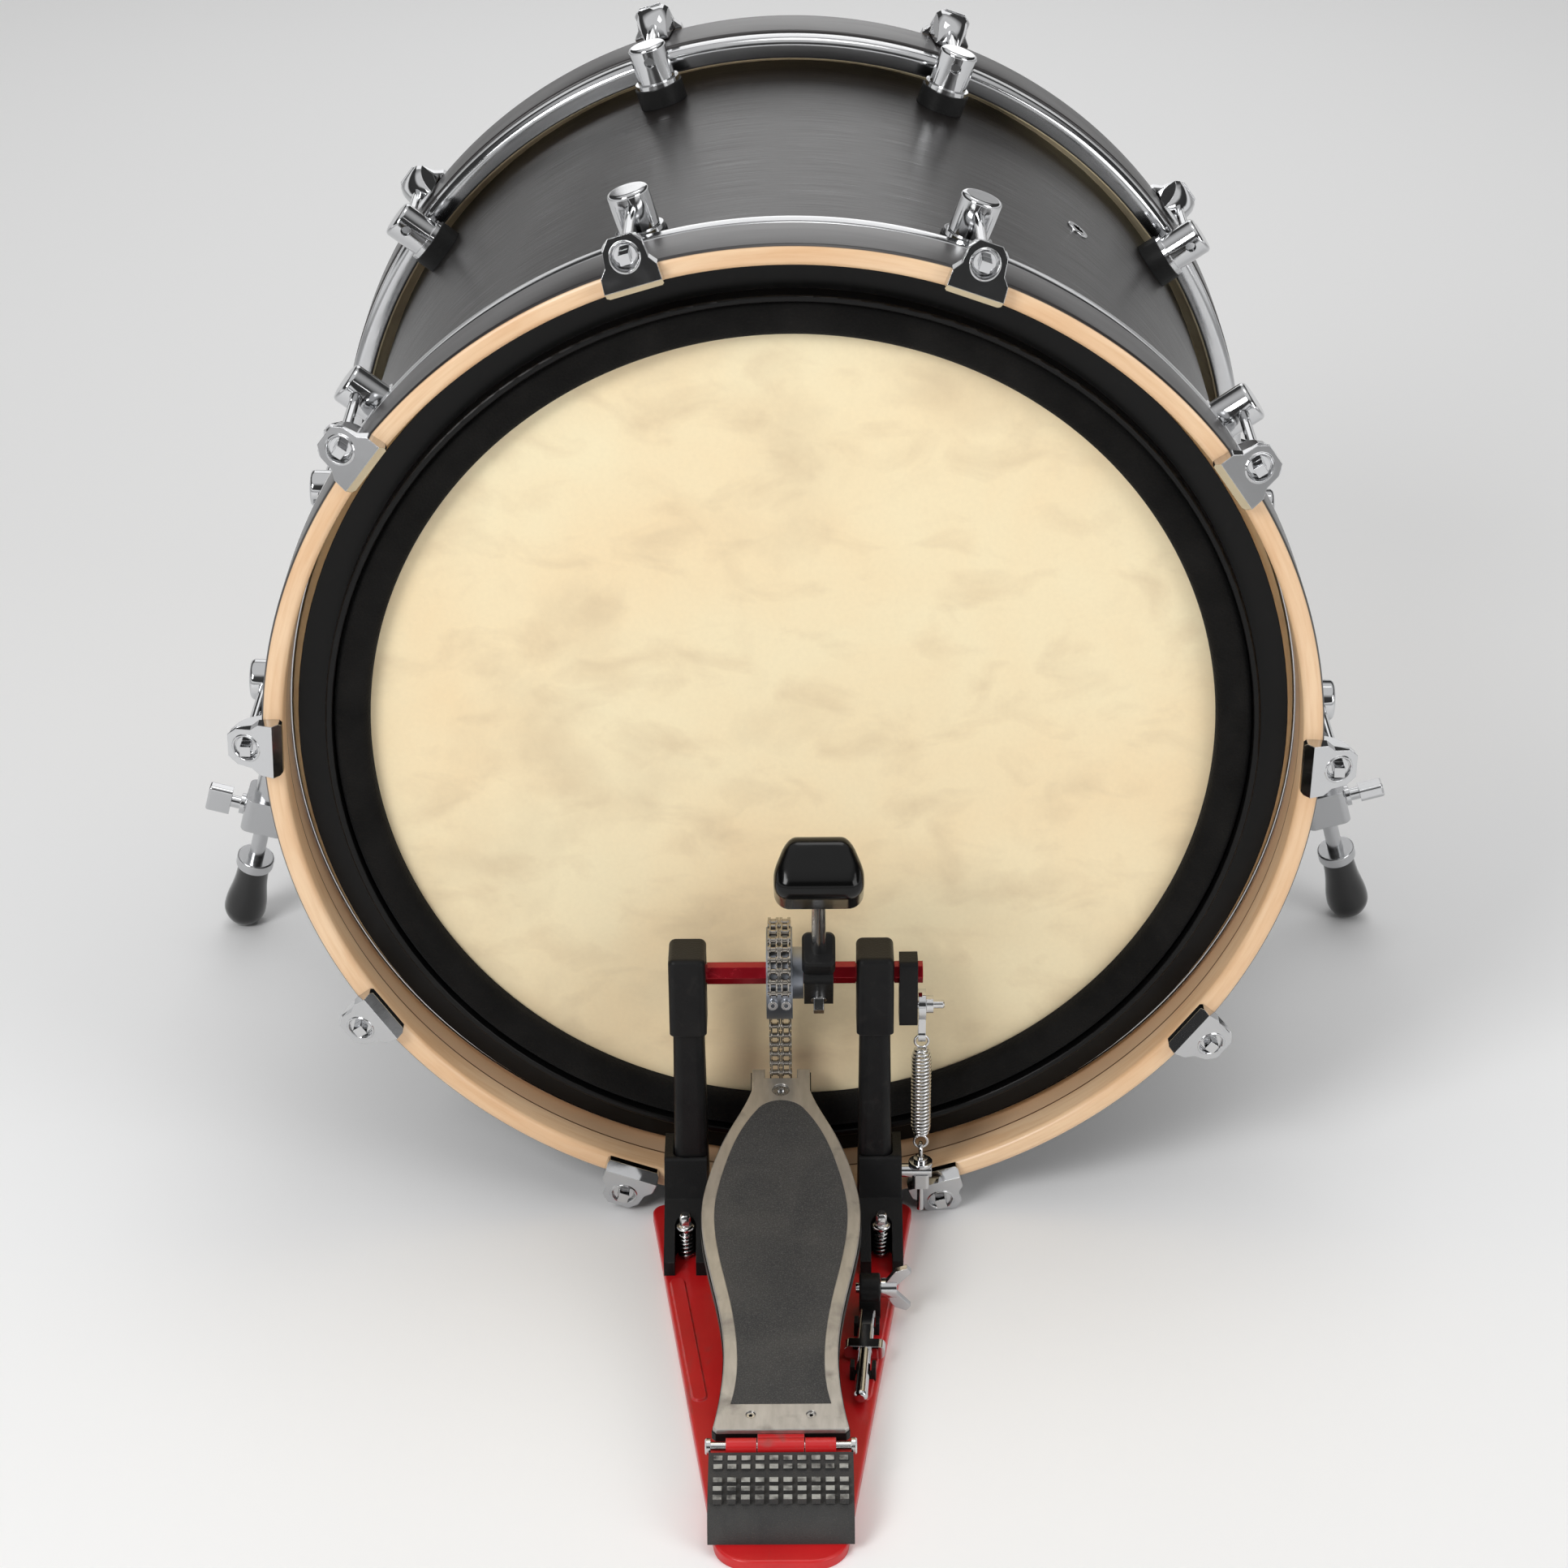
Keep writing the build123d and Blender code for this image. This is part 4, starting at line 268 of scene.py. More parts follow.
wire(edge_wear, [
    (start.outputs["Width"], rounded.inputs["Radius"]),
    (rounded.outputs[0], turn.inputs[0]),
    (plain.outputs["True Normal"], turn.inputs[1]),
    (turn.outputs["Value"], sharp.inputs["Value"]),
    (spot.outputs["Object"], patch.inputs["Vector"]),
    (start.outputs["Patches"], patch.inputs["Scale"]),
    (patch.outputs["Fac"], broken.inputs["Value"]),
    (sharp.outputs[0], both.inputs[0]),
    (broken.outputs[0], both.inputs[1]),
    (both.outputs[0], amount.inputs[0]),
    (start.outputs["Amount"], amount.inputs[1]),
    (amount.outputs[0], end.inputs["Mask"]),
])

# %% Round the drum: how far from its axis, for grain that follows the hoop's bend
round_drum, start, end = new_group("Round the drum", {"Axis height": (FLOAT, 0.3)},
                                   {"Radius": FLOAT, "Turn": FLOAT, "Along": FLOAT})
spot = round_drum.nodes.new("ShaderNodeTexCoord")
split = round_drum.nodes.new("ShaderNodeSeparateXYZ")
above = add_node(round_drum, "ShaderNodeMath", operation="SUBTRACT")
flat = round_drum.nodes.new("ShaderNodeCombineXYZ")
length = add_node(round_drum, "ShaderNodeVectorMath", operation="LENGTH")
angle = add_node(round_drum, "ShaderNodeMath", operation="ARCTAN2")
wire(round_drum, [
    (spot.outputs["Object"], split.inputs[0]),
    (split.outputs["Z"], above.inputs[0]),
    (start.outputs["Axis height"], above.inputs[1]),
    (split.outputs["X"], flat.inputs["X"]),
    (above.outputs[0], flat.inputs["Z"]),
    (flat.outputs[0], length.inputs[0]),
    (above.outputs[0], angle.inputs[0]),
    (split.outputs["X"], angle.inputs[1]),
    (length.outputs["Value"], end.inputs["Radius"]),
    (angle.outputs[0], end.inputs["Turn"]),
    (split.outputs["Y"], end.inputs["Along"]),
])

# %% Grain: fine lines that run round the drum
grain, start, end = new_group(
    "Grain", {"Axis height": (FLOAT, 0.3), "Fineness": (FLOAT, 600.0), "Length": (FLOAT, 4.0)},
    {"Fibres": FLOAT, "Bands": FLOAT},
)
polar = add_node(grain, "ShaderNodeGroup", node_tree=round_drum)
fine = grain.nodes.new("ShaderNodeCombineXYZ")
grain.links.new(start.outputs["Axis height"], polar.inputs[0])
for source, key, axis in (("Radius", "Fineness", "X"), ("Turn", "Length", "Y"), ("Along", "Fineness", "Z")):
    scale_node = add_node(grain, "ShaderNodeMath", operation="MULTIPLY")
    wire(grain, [
        (polar.outputs[source], scale_node.inputs[0]),
        (start.outputs[key], scale_node.inputs[1]),
        (scale_node.outputs[0], fine.inputs[axis]),
    ])
fibres = add_node(grain, "ShaderNodeTexNoise", in_Scale=1.0, in_Detail=5.0, in_Roughness=0.6)
shrink = add_node(grain, "ShaderNodeVectorMath", operation="MULTIPLY")
shrink.inputs[1].default_value = (0.16, 0.5, 0.16)
bands = add_node(grain, "ShaderNodeTexNoise", in_Scale=1.0, in_Detail=3.0, in_Distortion=0.6)
wire(grain, [
    (fine.outputs[0], fibres.inputs["Vector"]),
    (fine.outputs[0], shrink.inputs[0]),
    (shrink.outputs[0], bands.inputs["Vector"]),
    (fibres.outputs["Fac"], end.inputs["Fibres"]),
    (bands.outputs["Fac"], end.inputs["Bands"]),
])
print("groups:", [g.name for g in bpy.data.node_groups])

# %% [markdown]
# ## Finishes
# Every finish has one pattern: a base colour, one or two masks that mix other colours in, a roughness
# that the same masks change, and a small bump. Helpers make each step, so the rest of a finish is its
# own values.

# %% Helpers that place a group or mix colours in a material
def effect(tree, group, **values):
    """A group node in a material's tree, with its named inputs set."""
    made = add_node(tree, "ShaderNodeGroup", node_tree=group)
    for key, value in values.items():
        made.inputs[key.replace("_", " ")].default_value = value
    return made


def mix_colour(tree, mask, low, high):
    """A colour between low and high, by mask. Each is a colour or an output socket."""
    made = add_node(tree, "ShaderNodeMix", data_type="RGBA")
    tree.links.new(mask, made.inputs["Factor"])
    for key, value in (("A", low), ("B", high)):
        socket = [s for s in made.inputs if s.name == key and s.type == "RGBA"][0]
        if isinstance(value, tuple):
            socket.default_value = (*value, 1)
        else:
            tree.links.new(value, socket)
    return [s for s in made.outputs if s.type == "RGBA"][0]


def span(tree, value, low, high, from_low=0.0, from_high=1.0):
    """A value carried from one range to another."""
    made = add_node(tree, "ShaderNodeMapRange")
    tree.links.new(value, made.inputs["Value"])
    ends = {"From Min": from_low, "From Max": from_high, "To Min": low, "To Max": high}
    for key, number in ends.items():
        made.inputs[key].default_value = number
    return made.outputs[0]


def bump(tree, shader, height, strength, distance, rounding=0.0):
    """Fine relief from a mask. With rounding, sharp edges also catch light as if eased."""
    made = add_node(tree, "ShaderNodeBump", in_Strength=strength, in_Distance=distance)
    tree.links.new(height, made.inputs["Height"])
    if rounding:
        eased = add_node(tree, "ShaderNodeBevel", samples=4, in_Radius=rounding)
        tree.links.new(eased.outputs[0], made.inputs["Normal"])
    tree.links.new(made.outputs[0], shader.inputs["Normal"])


def surface(tree, shader, colour, roughness, **plain):
    """Feed a shader its colour and roughness. Its other sockets take plain values, by name."""
    wire(tree, [(colour, shader.inputs["Base Color"]), (roughness, shader.inputs["Roughness"])])
    for key, value in plain.items():
        shader.inputs[key.replace("_", " ")].default_value = value


# %% [markdown]
# ### Lacquered wood
# The shell's veneer runs round the drum under a dark satin lacquer. The hoops are maple, dark outside
# and behind, and clear on the face and inside. One material does both: it turns dark a little way
# behind the face, by distances from the drum's axis and middle, so the line stays crisp on any mesh.

# %% Dark lacquer on the shell
axis_z = drum_middle.z
shell_finish, tree, shader = new_material("dark_lacquer")
veneer = effect(tree, grain, Axis_height=axis_z, Fineness=900.0, Length=5.0)
veneer_mask = span(tree, veneer.outputs["Fibres"], 0.0, 1.0, 0.3, 0.7)
lacquer = mix_colour(tree, veneer_mask, (0.0045, 0.0038, 0.0036), (0.013, 0.010, 0.009))
satin = span(tree, veneer.outputs["Fibres"], 0.26, 0.42, 0.3, 0.7)
surface(tree, shader, lacquer, satin, Specular_IOR_Level=0.6)
bump(tree, shader, veneer.outputs["Fibres"], strength=0.25, distance=0.0004)
print("finish:", shell_finish.name)

# %% Where a hoop's colours change, and what they are
HOOP_WIDTH = hoop_high.y - hoop_low.y
# the thin dark line on a hoop's inner wall is painted shade, standing for a narrow gap in shadow: where it
# lies, and half its width
GAP_SHADE_BEHIND = 20.0 * MM
GAP_SHADE_HALF = 0.6 * MM
INNER_FROM = 9.5 * MM
OUTER_TO = 6.0 * MM
DARK_FROM, DARK_BY = 1.0 * MM, 1.5 * MM
BACK_SKIN = 1.0 * MM
MAPLE_PALE, MAPLE_WARM, MAPLE_FIBRE = (0.84, 0.60, 0.38), (0.76, 0.49, 0.28), (0.60, 0.31, 0.13)
# the brown of that thin line is painted shade, the shadow of a narrow gap
INNER_PLY, GAP_SHADE_BROWN, HOOP_BLACK = (0.70, 0.47, 0.29), (0.10, 0.035, 0.012), (0.020, 0.017, 0.017)
print("hoop is", round(HOOP_WIDTH, 4), "m wide, with its seam", GAP_SHADE_BEHIND, "m behind the face")


# %% Maple for the hoops
def hoop_finish(name):
    """Maple on the face and inside, dark outside and behind, with a thin line of painted shade on the inner
    wall.
    """
    material, tree, shader = new_material(name)

    def maths(operation, *values):
        made = add_node(tree, "ShaderNodeMath", operation=operation)
        for socket, value in zip(made.inputs, values):
            if isinstance(value, float):
                socket.default_value = value
            else:
                tree.links.new(value, socket)
        return made.outputs[0]

    wood = effect(tree, grain, Axis_height=axis_z, Fineness=420.0, Length=7.0)
    polar = effect(tree, round_drum, Axis_height=axis_z)
    from_middle = maths("ABSOLUTE", maths("SUBTRACT", polar.outputs["Along"], drum_middle.y))
    behind = maths("SUBTRACT", hoop_face, from_middle)
    band_mask = span(tree, wood.outputs["Bands"], 0.0, 1.0, 0.35, 0.65)
    fibre_mask = span(tree, wood.outputs["Fibres"], 0.0, 0.32, 0.45, 0.75)
    clear = mix_colour(tree, fibre_mask, mix_colour(tree, band_mask, MAPLE_PALE, MAPLE_WARM), MAPLE_FIBRE)
    inside = maths("LESS_THAN", polar.outputs["Radius"], hoop_r - INNER_FROM)
    deep = maths("MULTIPLY", inside, maths("GREATER_THAN", behind, GAP_SHADE_BEHIND))
    # painted shade: a thin dark brown line round the inner wall, where a narrow gap lies in shadow
    gap_shade = maths("MULTIPLY", inside, maths("COMPARE", behind, GAP_SHADE_BEHIND, GAP_SHADE_HALF))
    with_gap_shade = mix_colour(tree, gap_shade, mix_colour(tree, deep, clear, INNER_PLY), GAP_SHADE_BROWN)
    rim = maths("GREATER_THAN", polar.outputs["Radius"], hoop_r - OUTER_TO)
    outside = maths("MULTIPLY", rim, span(tree, behind, 0.0, 1.0, DARK_FROM, DARK_BY))
    back = maths("GREATER_THAN", behind, HOOP_WIDTH - BACK_SKIN)
    dark = maths("MAXIMUM", outside, back)
    surface(tree, shader, mix_colour(tree, dark, with_gap_shade, HOOP_BLACK),
            span(tree, wood.outputs["Bands"], 0.30, 0.42), Coat_Weight=0.25, Coat_Roughness=0.2)
    bump(tree, shader, wood.outputs["Fibres"], strength=0.15, distance=0.0003)
    return material


maple = hoop_finish("hoop_maple")
print("finish:", maple.name, "with", len(maple.node_tree.nodes), "nodes")

# %% [markdown]
# ### The heads
# The film is made to look like calfskin: cream, with warm clouds and short grey-brown wisps that
# lie in no one direction. Swirled noise at three sizes gives that, with a little relief.

# %% Calfskin film
CREAM_WARM, CREAM_PALE = (0.90, 0.72, 0.455), (0.91, 0.79, 0.53)
WISP_BROWN, SMUDGE_BROWN, FUZZ_BROWN = (0.66, 0.51, 0.325), (0.55, 0.42, 0.27), (0.50, 0.40, 0.25)


def film_finish():
    """Cream film with clouds, wisps, smudges and a fine fuzz, laid over each other in that order."""
    material, tree, shader = new_material("calfskin_film")
    clouds = effect(tree, mottle, Scale=6.5, Detail=5.0, Swirl=0.3, Low=0.38, High=0.64)
    wisps = effect(tree, mottle, Scale=30.0, Stretch_X=0.75, Stretch_Z=1.3, Detail=12.0, Swirl=0.5,
                   Low=0.50, High=0.80)
    smudges = effect(tree, mottle, Scale=11.0, Detail=11.0, Swirl=0.25, Low=0.55, High=0.80)
    fuzz = effect(tree, mottle, Scale=420.0, Detail=3.0, Low=0.2, High=0.8)
    cloudy = mix_colour(tree, clouds.outputs[0], CREAM_WARM, CREAM_PALE)
    wispy = mix_colour(tree, span(tree, wisps.outputs[0], 0.0, 0.62), cloudy, WISP_BROWN)
    stained = mix_colour(tree, span(tree, smudges.outputs[0], 0.0, 0.48), wispy, SMUDGE_BROWN)
    fuzzy = mix_colour(tree, span(tree, fuzz.outputs[0], 0.0, 0.08), stained, FUZZ_BROWN)
    surface(tree, shader, fuzzy, span(tree, wisps.outputs[0], 0.50, 0.62), Specular_IOR_Level=0.3)
    bump(tree, shader, fuzz.outputs[0], strength=0.10, distance=0.0003)
    return material


film = film_finish()
print("finish:", film.name)

# %% [markdown]
# ### Plated and bare metals
# Chrome is a mirror, so all it needs is a little haze and eased edges that catch the lamps. The satin
# plating of the spurs, the zinc of the springs, the chain's steel and the wheel's casting are the same
# recipe with more haze.

# %% One recipe for plated and bare metals
TARNISH = (0.30, 0.28, 0.25)


def plated(name, colour, smooth, hazy, tarnish, rounding=0.5 * MM, streaks=1.0):
    """Metal whose roughness drifts from smooth to hazy, with small spots of tarnish."""
    material, tree, shader = new_material(name)
    haze = effect(tree, mottle, Scale=60.0, Stretch_Z=streaks, Detail=7.0, Swirl=0.5, Low=0.35, High=0.75)
    spots = effect(tree, mottle, Scale=340.0, Detail=4.0, Low=0.62, High=0.80)
    base = mix_colour(tree, span(tree, spots.outputs[0], 0.0, tarnish), colour, TARNISH)
    surface(tree, shader, base, span(tree, haze.outputs[0], smooth, hazy), Metallic=1.0)
    bump(tree, shader, haze.outputs[0], strength=0.03, distance=0.0002, rounding=rounding)
    return material


chrome = plated("bright_chrome", (0.60, 0.605, 0.615), 0.05, 0.11, tarnish=0.12)
satin_chrome = plated("satin_chrome", (0.55, 0.555, 0.565), 0.18, 0.30, tarnish=0.2)
zinc = plated("bright_zinc", (0.66, 0.66, 0.66), 0.14, 0.26, tarnish=0.30, rounding=0.25 * MM)
chain_steel = plated("chain_steel", (0.40, 0.37, 0.33), 0.12, 0.28, tarnish=0.45, rounding=0.15 * MM)
wheel_grey = plated("cast_grey", (0.30, 0.32, 0.36), 0.32, 0.50, tarnish=0.3)
tarnished = plated("flesh_hoop_metal", (0.55, 0.555, 0.565), 0.10, 0.18, tarnish=0.15, streaks=1.5)
print("metals:", [m.name for m in (chrome, satin_chrome, zinc, chain_steel, wheel_grey, tarnished)])

# %% [markdown]
# ### Painted and anodised metals
# The castings have a black powder coat with a fine orange-peel relief. The pedal's base is red, rubbed
# by shoes: its edges show metal in patches, and dull scuffs run along it. The shaft is anodised, so it
# is the same recipe with some metal in it.

# %% One recipe for coats, and three coats
def coated(name, colour, shade, smooth, rough, peel, wear, wear_colour, scuff_colour, scuff):
    """A coat that clouds from colour to shade, with scuffs along it and wear on its edges."""
    material, tree, shader = new_material(name)
    clouds = effect(tree, mottle, Scale=30.0, Detail=5.0, Swirl=0.4, Low=0.3, High=0.7)
    scuffs = effect(tree, mottle, Scale=110.0, Stretch_Y=0.28, Detail=8.0, Swirl=0.7, Low=0.58, High=0.72)
    skin = effect(tree, mottle, Scale=900.0, Detail=2.0, Low=0.3, High=0.7)
    worn = effect(tree, edge_wear, Width=0.9 * MM, Patches=160.0, Amount=wear)
    base = mix_colour(tree, clouds.outputs[0], colour, shade)
    scuffed = mix_colour(tree, span(tree, scuffs.outputs[0], 0.0, scuff), base, scuff_colour)
    surface(tree, shader, mix_colour(tree, worn.outputs[0], scuffed, wear_colour),
            span(tree, scuffs.outputs[0], smooth, rough))
    bump(tree, shader, skin.outputs[0], strength=peel, distance=0.0002, rounding=0.7 * MM)
    return material


black_casting = coated(
    "black_powder_coat", (0.0055, 0.0055, 0.006), (0.010, 0.010, 0.010), smooth=0.40, rough=0.52, peel=0.30,
    wear=0.30, wear_colour=(0.10, 0.095, 0.09), scuff=0.25, scuff_colour=(0.028, 0.026, 0.024),
)
red_paint = coated(
    "red_paint", (0.58, 0.011, 0.013), (0.50, 0.009, 0.011), smooth=0.30, rough=0.50, peel=0.12,
    wear=0.55, wear_colour=(0.30, 0.20, 0.19), scuff=0.45, scuff_colour=(0.22, 0.07, 0.06),
)
red_anodised = coated(
    "red_anodising", (0.42, 0.006, 0.016), (0.30, 0.004, 0.012), smooth=0.22, rough=0.34, peel=0.05,
    wear=0.25, wear_colour=(0.55, 0.16, 0.15), scuff=0.3, scuff_colour=(0.20, 0.01, 0.02),
)
red_anodised.node_tree.nodes["Principled BSDF"].inputs["Metallic"].default_value = 0.6
print("coats:", [m.name for m in (black_casting, red_paint, red_anodised)])

# %% [markdown]
# ### Plastics, rubber and foam
# The damping ring and the beater are black mouldings, the ring satin and the beater glossy. The lugs'
# pads are blacker and duller rubber with a fine skin, and the spurs' feet are rubber polished by the
# floor. The foam is open, so its relief comes from small cells.

# %% One recipe for mouldings, and four of them
def moulded(name, colour, smooth, rough, relief, fine=500.0, coat=0.0):
    """Plastic or rubber with a fine skin and a few dusty marks."""
    material, tree, shader = new_material(name)
    skin = effect(tree, mottle, Scale=fine, Detail=3.0, Low=0.3, High=0.7)
    marks = effect(tree, mottle, Scale=48.0, Detail=8.0, Swirl=0.8, Low=0.55, High=0.75)
    dusty = tuple(min(1.0, c * 1.7 + 0.004) for c in colour)
    surface(tree, shader, mix_colour(tree, span(tree, marks.outputs[0], 0.0, 0.5), colour, dusty),
            span(tree, marks.outputs[0], smooth, rough), Coat_Weight=coat, Coat_Roughness=0.06)
    bump(tree, shader, skin.outputs[0], strength=relief, distance=0.0003, rounding=0.6 * MM)
    return material


gloss_black = moulded("gloss_black", (0.0035, 0.0034, 0.0034), 0.30, 0.40, relief=0.03)
beater_gloss = moulded("beater_gloss", (0.002, 0.002, 0.002), 0.15, 0.20, relief=0.02)
rubber = moulded("matt_rubber", (0.008, 0.008, 0.008), 0.5, 0.65, relief=0.25)
foot_rubber = moulded("polished_rubber", (0.004, 0.004, 0.004), 0.14, 0.24, relief=0.05, coat=0.4)
print("mouldings:", [m.name for m in (gloss_black, beater_gloss, rubber, foot_rubber)])

# %% Open-celled foam
foam, tree, shader = new_material("black_foam")
cells = add_node(tree, "ShaderNodeTexVoronoi", in_Scale=620.0)
spot = tree.nodes.new("ShaderNodeTexCoord")
tree.links.new(spot.outputs["Object"], cells.inputs["Vector"])
pile = effect(tree, mottle, Scale=35.0, Detail=6.0, Swirl=0.3, Low=0.35, High=0.7)
tree.links.new(mix_colour(tree, pile.outputs[0], (0.0040, 0.0038, 0.0036), (0.0085, 0.0080, 0.0075)),
               shader.inputs["Base Color"])
shader.inputs["Roughness"].default_value = 0.95
shader.inputs["Sheen Weight"].default_value = 0.03
bump(tree, shader, cells.outputs["Distance"], strength=0.5, distance=0.0006)
print("finish:", foam.name)

# %% [markdown]
# ### The footboard and the heel pad
# The footboard's rim is aluminium, rubbed satin by shoes and darkened in patches by dirt. The mat is
# charcoal grit like sandpaper: dense pale specks in a dark binder, with smears where a sole has
# polished it. The heel pad is the same in softer contrast, with studs whose tops are scuffed pale.

# %% Worn rim
rim_metal, tree, shader = new_material("worn_aluminium")
grime = effect(tree, mottle, Scale=55.0, Detail=10.0, Swirl=0.35, Low=0.54, High=0.78)
rubbed = effect(tree, mottle, Scale=240.0, Stretch_Y=0.2, Detail=6.0, Low=0.3, High=0.7)
brushed = mix_colour(tree, rubbed.outputs[0], (0.50, 0.48, 0.45), (0.40, 0.38, 0.355))
grimy = mix_colour(tree, span(tree, grime.outputs[0], 0.0, 0.75), brushed, (0.13, 0.11, 0.09))
surface(tree, shader, grimy, span(tree, grime.outputs[0], 0.34, 0.60), Metallic=0.75)
bump(tree, shader, rubbed.outputs[0], strength=0.12, distance=0.0002, rounding=0.8 * MM)
print("finish:", rim_metal.name)


# %% Grit mat and heel pad
def grit_finish(name, speck_colour):
    """A dark binder with pale specks and smears."""
    material, tree, shader = new_material(name)
    specks = effect(tree, mottle, Scale=1500.0, Detail=2.0, Low=0.50, High=0.66)
    smears = effect(tree, mottle, Scale=24.0, Detail=7.0, Swirl=0.6, Low=0.38, High=0.72)
    binder = mix_colour(tree, smears.outputs[0], (0.034, 0.034, 0.034), (0.052, 0.050, 0.047))
    gritty = mix_colour(tree, span(tree, specks.outputs[0], 0.0, 0.55), binder, speck_colour)
    surface(tree, shader, gritty, span(tree, smears.outputs[0], 0.9, 0.7))
    bump(tree, shader, specks.outputs[0], strength=0.6, distance=0.0005)
    return material


grit = grit_finish("grit_mat", (0.13, 0.125, 0.12))
heel_rubber = grit_finish("heel_rubber", (0.07, 0.065, 0.06))
print("finishes:", grit.name, heel_rubber.name)

# %% Scuffed tops on the heel pad's studs
STUD_TOP = 0.3 * MM
STUD_BLUR = 0.05 * MM


def wear_stud_tops(material, height, colour):
    """Pale, scuffed tops on whatever stands above a height, such as a rubber pad's studs."""
    tree = material.node_tree
    shader = tree.nodes["Principled BSDF"]
    old = shader.inputs["Base Color"].links[0].from_socket
    spot = tree.nodes.new("ShaderNodeTexCoord")
    parts = tree.nodes.new("ShaderNodeSeparateXYZ")
    tree.links.new(spot.outputs["Object"], parts.inputs[0])
    above = span(tree, parts.outputs["Z"], 0.0, 1.0, height - STUD_BLUR, height)
    scuffed = effect(tree, mottle, Scale=130.0, Detail=6.0, Low=0.30, High=0.56)
    both = add_node(tree, "ShaderNodeMath", operation="MULTIPLY")
    wire(tree, [(above, both.inputs[0]), (scuffed.outputs[0], both.inputs[1])])
    tree.links.new(mix_colour(tree, both.outputs[0], old, colour), shader.inputs["Base Color"])


pad_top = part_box("heel_pad")[1].z
wear_stud_tops(heel_rubber, pad_top - STUD_TOP, (0.42, 0.42, 0.39))
print("studs are pale above", round(pad_top - STUD_TOP, 4), "m")

# %% How little the blacks shine
# deep blacks give back little light, so even their highlights are kept faint
SHINE = {black_casting: 0.16, gloss_black: 0.20, rubber: 0.20, beater_gloss: 0.28, foam: 0.15}
for material, shine in SHINE.items():
    material.node_tree.nodes["Principled BSDF"].inputs["Specular IOR Level"].default_value = shine
print("specular levels:", {material.name: shine for material, shine in SHINE.items()})

# %% [markdown]
# ## Finishes on the solid parts
# One table says which finish each solid of the model takes. A solid's object and its shape stay as they
# are; only its material slot changes.

# %% Assign
finishes = {
    shell_finish: ["shell"],
    maple: ["batter_hoop", "front_hoop"],
    tarnished: ["flesh_hoops"],
    film: ["batter_head", "front_head"],
    gloss_black: ["damping_ring", "beater_head"],
    foam: ["damping_foam"],
    chrome: ["claws", "tension_rods", "lugs", "left_spur_key_bolt", "right_spur_key_bolt", "wing_screw",
             "spring_tensioner", "spring_link", "spring_arm", "vent_grommet", "drum_key"],
    satin_chrome: ["spur_brackets", "spur_pins", "left_spur_tube", "right_spur_tube", "left_spur_clamp",
                   "right_spur_clamp", "left_spur_rod", "right_spur_rod", "left_spur_lock_nut",
                   "right_spur_lock_nut"],
    zinc: ["lug_bolts", "pedal_pins", "anchor_screws", "shaft_bearings", "sprocket_chain", "chain_run",
           "drive_screws", "footboard_screws", "beater_rod", "spring"],
    wheel_grey: ["sprocket"],
    rubber: ["lug_isolators"],
    foot_rubber: ["left_spur_foot", "right_spur_foot"],
    black_casting: ["posts", "anchor_blocks", "pedal_brackets", "hoop_jaw", "memory_lock", "beater_hub",
                    "spring_rocker", "footboard_frame"],
    red_paint: ["base_plate", "heel_hinge", "hinge_tongue", "heel_plate"],
    red_anodised: ["drive_shaft"],
    rim_metal: ["footboard"],
    grit: ["footboard_pad"],
    heel_rubber: ["heel_pad"],
}


def dress(thing, material):
    """Give an object one finish in place of what it has."""
    thing.data.materials.clear()
    thing.data.materials.append(material)


for material, names in finishes.items():
    for name in names:
        dress(nodes[name], material)
bare = sorted(set(nodes) - {name for names in finishes.values() for name in names})
print("dressed", len(nodes) - len(bare), "nodes, bare:", bare)

# %% [markdown]
# ## Detailed pieces
# Some solids of the model are simple stand-ins for finer shapes. Each is replaced by a mesh built from
# numbers: profiles turned round an axis, wires swept along a path, and plates set along a chain.

# %% Helpers that build a mesh from points
def add_piece(name, points, faces, material, body, replaced, corner=35.0, bevel=0.0):
    """A mesh piece in metres that stands for the named nodes and rides a body, if one is given."""
    mesh = bpy.data.meshes.new(name)
    mesh.from_pydata([tuple(p) for p in points], [], faces)
    tidy = bmesh.new()
    tidy.from_mesh(mesh)
    bmesh.ops.recalc_face_normals(tidy, faces=tidy.faces)
    tidy.to_mesh(mesh)
    tidy.free()
    mesh.shade_smooth()
    mesh.set_sharp_from_angle(angle=radians(corner))
    piece = bpy.data.objects.new(name, mesh)
    scene.collection.objects.link(piece)
    mesh.materials.append(material)
    if bevel:
        eased = piece.modifiers.new("eased_edges", "BEVEL")
        eased.width = bevel
        eased.segments = 3
        eased.limit_method = "ANGLE"
        eased.angle_limit = radians(28)
        eased.harden_normals = True
    if body:
        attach(piece, body)
    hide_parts(*replaced)
    return piece


def between(first, second, count):
    """Faces between two closed loops of points, whose numbers start at first and second."""
    after = [(n + 1) % count for n in range(count)]
    return [(first + n, first + m, second + m, second + n) for n, m in enumerate(after)]


def lathe(profile, place, steps=32):
    """A closed profile of (radius, along) turned about an axis. place(radius, along, turn) puts a point."""
    count = len(profile)
    points = [place(r, a, 2 * pi * k / steps) for k in range(steps) for r, a in profile]
    faces = []
    for k in range(steps):
        faces += between(k * count, (k + 1) % steps * count, count)
    return points, faces


def loft(rings):
    """Skin through rings that have the same number of points, with closed ends."""
    count = len(rings[0])
    points = [p for ring in rings for p in ring]
    faces = []
    for k in range(len(rings) - 1):
        faces += between(k * count, (k + 1) * count, count)
    faces.append(tuple(range(count)))
    faces.append(tuple(range((len(rings) - 1) * count, len(rings) * count)))
    return points, faces


